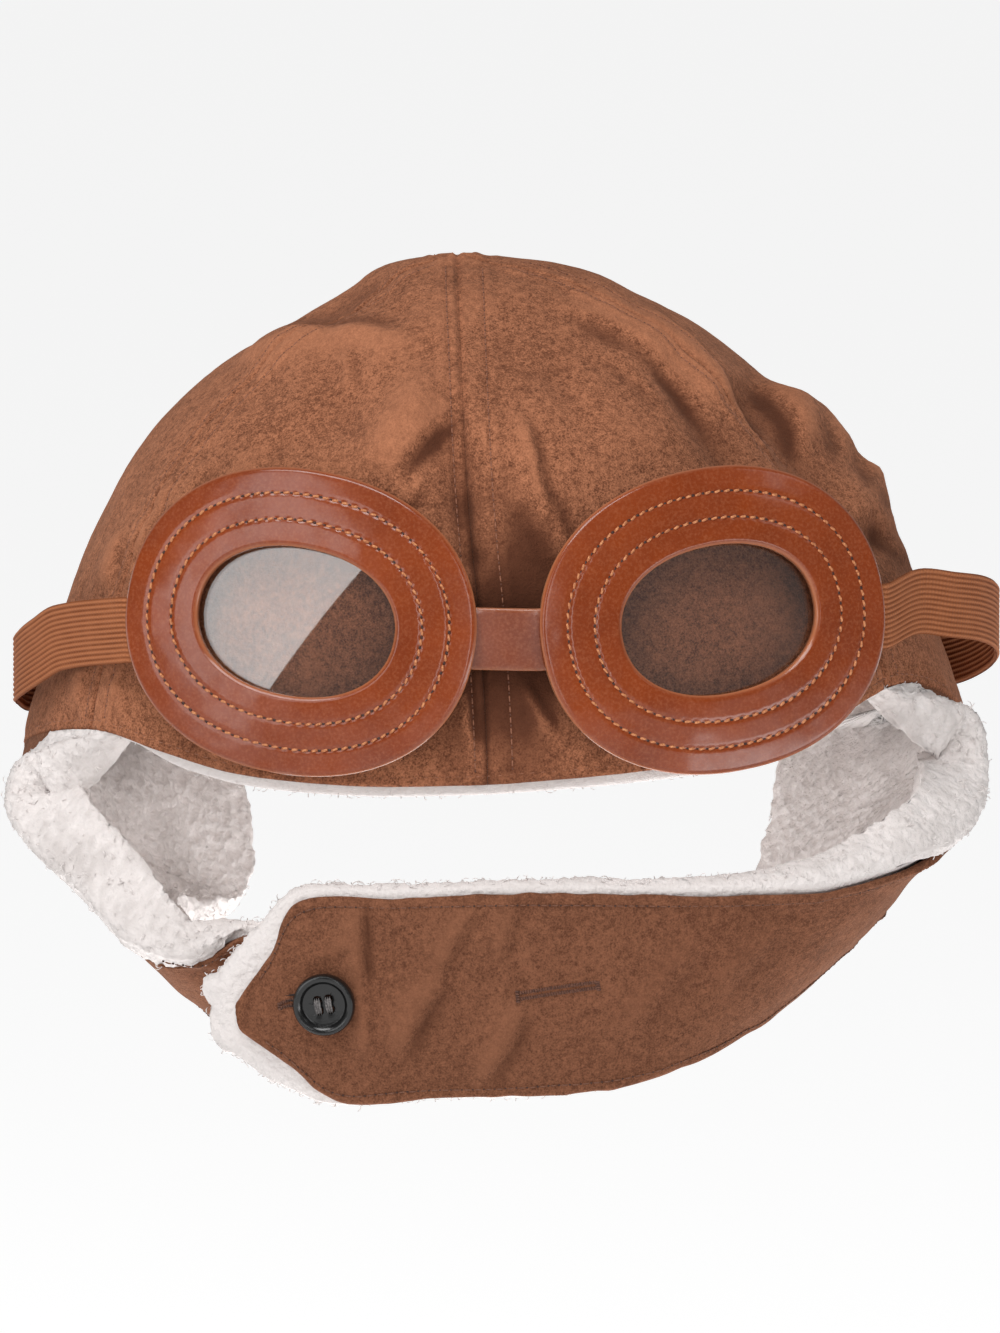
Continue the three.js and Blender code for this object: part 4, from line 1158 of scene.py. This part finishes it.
def ring_stitches(goggle):
    """Both rows of stitches round a goggle, each stitch a little askew."""
    parts = []
    for row in ROW_INSETS:
        turn = np.linspace(0, 2 * math.pi, 721)
        depth = BACKING + SLOT + LEATHER - 0.3
        path = goggle.oval(sized(row), turn, depth)
        out = unit(goggle.oval(sized(row), turn, depth + 1) - path)
        pitch = run(path)[-1] / stitch_count(row)
        parts += sewn_row(path, out, pitch, pitch * 0.8, 0.33, 0.36, 0.25, 0.4)
    return sew(f"goggle_stitches_{goggle.name}", parts)


def clear_sheet(name):
    """Clear plastic: it lets light straight through and mirrors more at a slant, on both faces."""
    m = Material(name)
    haze = m.noise(30, 3, 0.5)
    share = 0.06 + 0.035 * haze
    through = m.node("ShaderNodeBsdfTransparent", {}, {"Color": (0.87, 0.86, 0.85)})
    mirror = m.node("ShaderNodeBsdfGlossy", {}, {"Color": (1, 1, 1), "Roughness": 0.02})
    both = m.node("ShaderNodeMixShader", {}, {0: share, 1: through, 2: mirror})
    m.tree.links.new(both.socket, m.tree.nodes["Material Output"].inputs["Surface"])
    m.tree.nodes.remove(m.surface)
    return m.material


clear_plastic = clear_sheet("clear_plastic")


def lens_sheet(goggle):
    """The clear sheet: two domes of ovals drawn in to their middle, and a rim between them."""
    share = np.concatenate([np.linspace(0, 1, 16), np.linspace(1, 0, 16)])
    low = BACKING + FIT_GAP
    depth = np.concatenate([np.full(16, low + SHEET * 0.7), np.full(16, low)])
    size = (share[:, None] * LENS)[:, None]
    points = goggle.oval(size, RING_TURNS[::4], depth[:, None])
    return make(f"goggle_sheet_{goggle.name}", points, tube(*points.shape[:2]))


goggles = [
    Goggle("left", -1, (-46.8, -86.2, 38.5), -17),
    Goggle("right", 1, (52.6, -84.2, 38.7), 20),
]
for goggle in goggles:
    dress(front_ring(goggle), tan_leather, f"goggle_rim_{goggle.name}")
    dress(ring_stitches(goggle), tan_thread)
    dress(back_ring(goggle), raw_leather, f"goggle_backing_{goggle.name}")
    dress(lens_sheet(goggle), clear_plastic, f"goggle_lens_{goggle.name}")

# Bridge and elastic
# The bridge is a bowed strap of the same leather, and the elastic a ribbed webbing that stands off
# the crown in a loop beside each goggle and lies on it round the back.
BRIDGE_WIDTH = 15
ELASTIC_WIDTH = 15.8
REACH_IN = 6
SEWN_EDGE = 1
# The elastic by the angle round from the front: its height and how far it stands off the crown, on
# the left and then on the right.
ELASTIC_ROWS = np.array([
    (66, 29, 8, 38, 9.5),
    (80, 18.8, 8.5, 32.5, 16),
    (93, 13.2, 5.5, 24.5, 14.5),
    (107, 8, 3.4, 15, 6.5),
    (128, 4, 2.2, 6.5, 2.4),
    (155, 1, 2.2, 1.5, 2.2),
    (180, 0, 2.2, 0, 2.2),
])


def slot_end(goggle, side, up, past):
    """Three places in the slot between a goggle's rings, from inside its edge to past it."""
    across = side * (GOGGLE_OUTER[0] - SEWN_EDGE + np.array([-REACH_IN, 0, past]))
    return goggle.point(across, up, BACKING + SLOT / 2)


def band(path, width, thickness, along_steps, across_steps, surface_height):
    """A band along a smooth curve through the places of a path: its section is a flat loop whose two
    faces carry the given relief. Returns its points, faces, and lengthwise and crosswise places."""
    chord = run(path)
    along = np.linspace(0, chord[-1], along_steps)
    line = np.stack([smooth(chord, path[:, k], along) for k in range(3)], -1)
    ahead = unit(np.gradient(line, axis=0))
    upward = unit(np.array([0, 0, 1]) - ahead * ahead[:, 2:])
    out = np.cross(ahead, upward)
    across = np.linspace(-0.5, 0.5, across_steps) * width
    grid_along, grid_across = np.meshgrid(along, across, indexing="ij")
    height = thickness / 2 + surface_height(grid_along, grid_across)
    edge = width / 2 - np.abs(grid_across)
    height = height - 0.4 * thickness * bump(edge, 0.35)
    flat = line[:, None] + upward[:, None] * grid_across[..., None]
    outer = flat + out[:, None] * height[..., None]
    inner = flat - out[:, None] * height[..., None]
    points, faces = shell(outer, inner)
    places = {"along": np.tile(grid_along.ravel(), 2), "across": np.tile(grid_across.ravel(), 2)}
    return points, faces, places


def bridge_relief(along, across):
    """Soft waves along the middle of the bridge, where it bends."""
    return 0.12 * np.sin(along * 0.4) * bump(across, 7)


RIB_PITCH = 1.2


def rib_relief(along, across):
    """Ribs that run the length of the webbing: a cosine across it."""
    return 0.16 * np.cos(across * 2 * math.pi / RIB_PITCH)


left_goggle, right_goggle = goggles
bridge_path = np.vstack([slot_end(left_goggle, 1, -2, 2), slot_end(right_goggle, -1, -2.4, 2)[::-1]])
points, faces, places = band(bridge_path, BRIDGE_WIDTH, SHEET, 60, 30, bridge_relief)
bridge_edge = BRIDGE_WIDTH / 2 - np.abs(places["across"])
bridge = make("goggle_nose_bridge", points, faces, worn=0.6 * bump(bridge_edge, 0.5))
bridge_leather = leather(
    "bridge_leather", (0.45, 0.17, 0.08), (0.2, 0.037, 0.007), (0.15, 0.026, 0.005), 1,
)
dress(bridge, bridge_leather, "goggle_bridge")


def elastic_line(turns, side):
    """Places of the elastic round one side: the crown at the band's height, and off it."""
    height, off = (1, 2) if side < 0 else (3, 4)
    level = smooth(ELASTIC_ROWS[:, 0], ELASTIC_ROWS[:, height], turns)
    stand = smooth(ELASTIC_ROWS[:, 0], ELASTIC_ROWS[:, off], turns)
    aside = side * np.radians(turns)
    p = crown_surface(aside, level)
    return p + np.stack([np.sin(aside), -np.cos(aside), 0 * aside], -1) * stand[:, None]


elastic_turns = np.linspace(ELASTIC_ROWS[0, 0], 180, 20)
elastic_path = np.vstack([
    slot_end(right_goggle, 1, -1, 3),
    elastic_line(elastic_turns, 1),
    elastic_line(elastic_turns[:-1], -1)[::-1],
    slot_end(left_goggle, -1, -3.5, 3)[::-1],
])
points, faces, places = band(elastic_path, ELASTIC_WIDTH, SHEET, 240, 66, rib_relief)
elastic = make("goggle_elastic_band", points, faces, **places)


def webbing(name, pale, deep):
    """Ribbed elastic: covered rubber strands side by side, crossed by a fine slanting weft, with painted
    shade in the grooves between the ribs.
    """
    m = Material(name)
    along, across = m.attribute("along"), m.attribute("across")
    rib = m.node("ShaderNodeMath", {"operation": "COSINE"}, {0: across * (2 * math.pi / RIB_PITCH)})
    weft = m.node("ShaderNodeMath", {"operation": "SINE"}, {0: along * 5.2 + rib * 0.8})
    cloud = m.noise(6, 3, 0.6)
    # Painted shade: darker in the grooves between the ribs, where the ribbed relief is low.
    tone = m.mix(m.between(-1, 0.8, rib), deep, pale)
    tone = m.mix(0.25 * m.between(0, 1, weft), tone, deep)
    tone = m.mix(0.3 * m.between(0.4, 0.7, cloud), tone, pale)
    lines = m.bumps(0.5 + 0.5 * weft, 0.1)
    return m.finish(Base_Color=tone, Roughness=0.8, Normal=lines, Specular_IOR_Level=0.15)


brown_webbing = webbing("brown_webbing", (0.4, 0.145, 0.062), (0.2, 0.06, 0.022))
dress(elastic, brown_webbing, "goggle_elastic")

# Strap stitching and buttonhole
# Dark brown thread: a row inside the strap's turned edges, and the close whipped stitches round the
# empty buttonhole and the one that the button has gone through.
EDGE_ROW = 2.4
BUTTONHOLE = 19
USED_HOLE = 14
LIP_OFF = 0.72
FURROW_OFF = 1.35
BUTTON_SPOT = (11.85, 0.49)
USED_HOLE_SPOT = (12.2, 0.47)
SPARE_HOLE_SPOT = (9.56, 0.46)
SHANK_SPOT = (9.4, 0.52)


def on_flap(flap, place, across):
    """Points on the outside of a flap's cloth, and the directions out of it."""
    base = flap.wall(place, across, 0.0)
    relief = strap_relief(base, flap, place, across)[0]
    normal = flap.normal(place, across)
    return base + normal * relief[..., None], normal


def edge_row(flap, side, low, high):
    """A row of stitches a little inside one edge of a flap."""
    place = np.linspace(low, high, 260)
    share = np.minimum(EDGE_ROW / np.linalg.norm(flap.chord(place), axis=-1), 0.45)
    path, out = on_flap(flap, place, share if side == 0 else 1 - share)
    return sewn_row(path, out, STITCH, 1.9, STITCH_RADIUS, 0.16)


def strap_axes(flap, spot):
    """A place on the strap and the directions along, out of and up it."""
    place, across = (np.array(float(s)) for s in spot)
    p, out = on_flap(flap, place, across)
    up = flap.surface(place, across - 0.05) - flap.surface(place, across + 0.05)
    along = unit(np.cross(out, up))
    return p, along, out, unit(np.cross(along, out))


def near_spot(flap, spot, x, z):
    """Points on the cloth at distances along and up from a spot, found by the surface's own steps."""
    place, across = spot
    _, along, _, up = strap_axes(flap, spot)
    down = (flap.surface(place + 0.05, across) - flap.surface(place - 0.05, across)) / 0.1
    over = (flap.surface(place, across + 0.02) - flap.surface(place, across - 0.02)) / 0.04
    moved = (along * x[:, None] + up * z[:, None]) @ np.linalg.pinv(np.stack([down, over], 1)).T
    return on_flap(flap, place + moved[:, 0], across + moved[:, 1])


def whipped_hole(flap, spot, length):
    """Close stitches across both lips of a buttonhole, a few round each end, and dark flat capsules
    that paint the shade in the slit and in the furrows that the stitches draw into the cloth beside
    them."""
    half = length / 2
    x = np.linspace(-half, half, 40)
    parts = []
    for off in (-FURROW_OFF, 0, FURROW_OFF):
        furrow = near_spot(flap, spot, x, 0 * x + off)
        parts.append(stitches(*furrow, length, length, 0.36, 0.0, hole=1.0))
    for side in (-1, 1):
        lip = near_spot(flap, spot, x, 0 * x + side * LIP_OFF)
        parts.append(stitches(*lip, 0.62, 1.1, 0.3, 0.22, slant=9.0 * side))
    z = np.linspace(-1.5, 1.5, 12)
    for end in (-1, 1):
        bar = near_spot(flap, spot, 0 * z + end * (half + 0.3), z)
        parts.append(stitches(*bar, 0.6, 1.3, 0.3, 0.3, slant=9.0))
    return parts


rows = []
for flap, start, end in ((right_flap, 4.6, 0.6), (left_flap, 6.6, 0.2)):
    rows += edge_row(flap, 0, start, flap.last - end)
    rows += edge_row(flap, 1, 1.2, flap.last - end)
strap_thread = thread("strap_thread", (0.19, 0.076, 0.04), (0.12, 0.046, 0.024), (0.05, 0.018, 0.01))
dress(sew("strap_stitches", rows), strap_thread)
rows = whipped_hole(right_flap, SPARE_HOLE_SPOT, BUTTONHOLE)
rows += whipped_hole(right_flap, USED_HOLE_SPOT, USED_HOLE)
buttonhole_thread = thread(
    "buttonhole_thread", (0.15, 0.058, 0.032), (0.07, 0.026, 0.015), (0.012, 0.004, 0.003),
)
dress(sew("buttonhole_stitches", rows), buttonhole_thread)

# Button
# A black four-hole coat button with a raised rim and a dished middle, sewn on with dark thread
# that passes through the buttonhole to the other half of the strap.
BUTTON_RADIUS = 7.5
BUTTON_THICK = 3.4
DISH = 2.0
HOLE_RADIUS = 1.05
HOLE_OFF = 1.33
BUTTON_STAND = 0.9
# The button's section: share of the radius and share of the thickness.
BUTTON_SECTION = np.array([
    (0, 0),
    (0.8, 0),
    (0.93, 0.07),
    (0.985, 0.25),
    (1, 0.5),
    (0.985, 0.78),
    (0.94, 0.95),
    (0.88, 1),
    (0.81, 0.96),
    (0.74, 0.82),
    (0.68, DISH / BUTTON_THICK + 0.03),
    (0.6, DISH / BUTTON_THICK),
    (0, DISH / BUTTON_THICK),
])
_, along, out, up = strap_axes(right_flap, BUTTON_SPOT)
button_spot = [np.array(share) for share in BUTTON_SPOT]
button_base = right_flap.surface(*button_spot) + right_flap.normal(*button_spot) * BUTTON_STAND


def on_button(x, height, z):
    """A point given along the strap, out of it and up it from the back of the button."""
    terms = [(along, x), (out, height), (up, z)]
    return button_base + sum(axis * np.asarray(s)[..., None] for axis, s in terms)


turn = np.linspace(0, 2 * math.pi, 73)[:-1]
radius = BUTTON_SECTION[:, :1] * BUTTON_RADIUS
height = BUTTON_SECTION[:, 1:] * BUTTON_THICK
disc = on_button(radius * np.cos(turn), height, radius * np.sin(turn))
button = make("black_button", disc, tube(*disc.shape[:2]))
reach = np.array([[-2.0], [-2.0], [8.0], [8.0]])
wide = np.array([[0.0], [1.0], [1.0], [0.0]]) * HOLE_RADIUS
spin = turn[::3]
drills = []
for x in (-HOLE_OFF, HOLE_OFF):
    for z in (-HOLE_OFF, HOLE_OFF):
        drills.append(on_button(x + wide * np.cos(spin), reach, z + wide * np.sin(spin)))
drill = make("drill", drills, tubes(len(drills), wide.size, spin.size))
cut = button.modifiers.new("holes", "BOOLEAN")
cut.object = drill
cut.operation = "DIFFERENCE"
cut.solver = "EXACT"
bpy.context.view_layer.update()
drilled = bpy.data.meshes.new_from_object(button.evaluated_get(bpy.context.evaluated_depsgraph_get()))
button.modifiers.clear()
button.data = drilled
bpy.data.objects.remove(drill)
bevel = button.modifiers.new("edges", "BEVEL")
bevel.width = 0.15 * MM
bevel.limit_method = "ANGLE"
bevel.segments = 2


def horn(name):
    """Black moulded plastic: nearly black, with faint clouds and fine scratches in its gloss."""
    m = Material(name)
    tone = m.mix(m.noise(4, 3, 0.6), (0.004, 0.004, 0.004), (0.01, 0.01, 0.01))
    scratch = m.between(0.3, 0.8, m.noise(1.1, 4, 0.7, seed=4))
    return m.finish(
        Base_Color=tone, Roughness=0.12 + 0.16 * scratch, Normal=m.bumps(scratch, 0.03),
        Specular_IOR_Level=0.5,
    )


button.data.materials.clear()
dress(button, horn("black_horn"), "chin_button")
strands = []
for x in (-HOLE_OFF, HOLE_OFF):
    for off in (-0.5, 0, 0.5):
        z = np.linspace(-HOLE_OFF - 0.5, HOLE_OFF + 0.5, 24)
        path = on_button(x + off, DISH + 0.15 + 0.55 * (1 - (z / 1.9) ** 2), z)
        strands.append(stitches(path, np.broadcast_to(out, path.shape), 3.6, 4.4, 0.34, 0.5))
shank_out = BUTTON_STAND - 0.1
reach = float((button_base - left_flap.surface(*SHANK_SPOT)) @ out) - BUTTON_STAND - 0.3
for x in (-0.9, 0, 0.9):
    depth = np.linspace(shank_out, -reach, 30)
    path = on_button(x, depth - BUTTON_STAND, 0)
    length = shank_out + reach
    strands.append(stitches(path, np.broadcast_to(up, path.shape), length, length * 0.98, 0.3, 0.0))
dark_thread = thread("dark_thread", (0.17, 0.155, 0.15), (0.06, 0.055, 0.055), (0.01, 0.01, 0.01))
dress(sew("button_sewing", strands), dark_thread, "button_thread")

# Loose curls
# The pile's own ends: fine hooked fibres that stand out of the fleece, thickest where its rims are
# seen against the light.
CURL_RADIUS = 0.13
CURL_RINGS = 6
CURL_SIDES = 4


def curls(name, piece, count, size, seed):
    """Hooked fibres on the pile: each a circular arc that leaves the surface, turns over and ends,
    its radius closing at both ends. They start at random points, mostly along the fringe."""
    draw = np.random.default_rng(seed)
    mesh = piece.data

    def read(layer, key, width):
        values = np.empty(len(mesh.vertices) * width)
        layer.foreach_get(key, values)
        return values.reshape(-1, width)
    relief, fringe = (read(mesh.attributes[key].data, "value", 1)[:, 0] for key in ("relief", "fringe"))
    chance = (np.abs(relief) > 1e-6) * (0.07 + fringe)
    chosen = draw.choice(len(relief), count, p=chance / chance.sum())
    start = read(mesh.vertices, "co", 3)[chosen] / MM
    out = read(mesh.vertices, "normal", 3)[chosen]
    along = unit(np.cross(out, draw.normal(size=(count, 3))))
    aside = np.cross(out, along)
    bend = draw.uniform(0.6, 1.6, count)[:, None, None, None] * size
    sweep = draw.uniform(1.2, 3.3, count)[:, None, None]
    u = np.linspace(0, 1, CURL_RINGS)[None, :, None]
    v = (np.arange(CURL_SIDES) * 2 * math.pi / CURL_SIDES)[:, None]
    angle = (u * sweep)[..., None]
    lean = draw.uniform(-0.5, 0.5, count)[:, None, None, None]
    along, out, aside = (d[:, None, None] for d in (along, out, aside))
    line = along * (1 - np.cos(angle)) + out * (np.sin(angle) * 0.9 + 0.1 * angle) + aside * lean * angle
    swell = CURL_RADIUS * np.sqrt(np.clip(1 - (2 * u - 1) ** 6, 0, 1))[..., None]
    ring = aside * np.cos(v) + (along * np.cos(angle) + out * np.sin(angle)) * np.sin(v)
    points = start[:, None, None] - out * 0.25 + line * bend + ring * swell
    tufts = make(name, points, tubes(*points.shape[:3]), relief=np.full(points[..., 0].size, 0.3))
    dress(tufts, white_fleece)


curls("left_flap_curls", left_fleece, 1000, 0.75, 71)
curls("right_flap_curls", right_fleece, 1300, 0.75, 72)
curls("crown_curls", crown_fleece, 700, 0.7, 73)

# Floor and light
# A plain pale floor in even light, and six soft boxes: the key at the left, whose slanting edge is
# what the left lens mirrors, one above, a narrow one in front for the shine of bridge and rims, a
# fill at the right, and two small ones low down that lift the strap and the flaps from below.
FLOOR = -0.24
FLOOR_REACH = 30
WORLD_STRENGTH = 0.22


def pale_floor(name):
    """White paper that glows by itself, a touch more away from the hat, so that it stays plain."""
    m = Material(name)
    away = m.node("ShaderNodeVectorMath", {"operation": "LENGTH"}, {0: m.place}, "Value")
    glow = m.mix(m.between(0.3, 0.55, away), (0.8, 0.8, 0.8), (0.813, 0.813, 0.813))
    return m.finish(
        Base_Color=(0.35, 0.35, 0.35), Roughness=1.0, Specular_IOR_Level=0.0, Emission_Color=glow,
        Emission_Strength=1.0,
    )


floor_corners = np.array([(-1, -1, 0), (1, -1, 0), (1, 1, 0), (-1, 1, 0)]) * FLOOR_REACH
floor_corners = floor_corners + np.array([0, 0, FLOOR])
floor_mesh = bpy.data.meshes.new("floor")
floor_mesh.from_pydata(floor_corners, [], [(0, 1, 2, 3)])
floor = bpy.data.objects.new("floor", floor_mesh)
bpy.context.scene.collection.objects.link(floor)
floor.data.materials.append(pale_floor("pale_floor"))

world = bpy.data.worlds.new("studio")
bpy.context.scene.world = world
world.use_nodes = True
background = world.node_tree.nodes["Background"]
background.inputs["Color"].default_value = (1, 1, 1, 1)
background.inputs["Strength"].default_value = WORLD_STRENGTH


LIT_SPOT = np.array([0, -0.08, 0.03])


def soft_box(name, azimuth, elevation, distance, width, height, radiance, roll):
    """A rectangular area light that faces the goggles from a direction in degrees, turned about
    that direction by its roll, with a power that gives it the stated radiance."""
    a, e, r = math.radians(azimuth), math.radians(elevation), math.radians(roll)
    lamp = bpy.data.lights.new(name, "AREA")
    lamp.shape = "RECTANGLE"
    lamp.size = width
    lamp.size_y = height
    lamp.energy = radiance * math.pi * width * height
    holder = bpy.data.objects.new(name, lamp)
    bpy.context.scene.collection.objects.link(holder)
    towards = np.array([math.sin(a) * math.cos(e), -math.cos(a) * math.cos(e), math.sin(e)])
    level = unit(np.cross([0, 0, 1], towards))
    steep = np.cross(towards, level)
    across = math.cos(r) * level - math.sin(r) * steep
    upward = math.sin(r) * level + math.cos(r) * steep
    spot = LIT_SPOT + distance * towards
    holder.matrix_world = Matrix(np.vstack([np.stack([across, upward, towards, spot], 1), [0, 0, 0, 1]]))


# Each light's azimuth, elevation, distance, width, height, radiance and roll.
SOFT_BOXES = {
    "key": (-44.6, 15.4, 1.5, 0.66, 1.0, 2.6, 38),
    "top": (-28, 60, 1.4, 1.0, 0.7, 7.0, 0),
    "front": (3, 12, 1.5, 0.16, 0.9, 4.0, 0),
    "fill": (66, 34, 1.5, 0.5, 0.4, 1.2, 0),
    "low": (56, -14, 0.6, 0.4, 0.14, 3.4, 0),
    "under": (180, -75, 0.26, 0.3, 0.3, 3.2, 0),
}
for light in SOFT_BOXES:
    soft_box(light, *SOFT_BOXES[light])
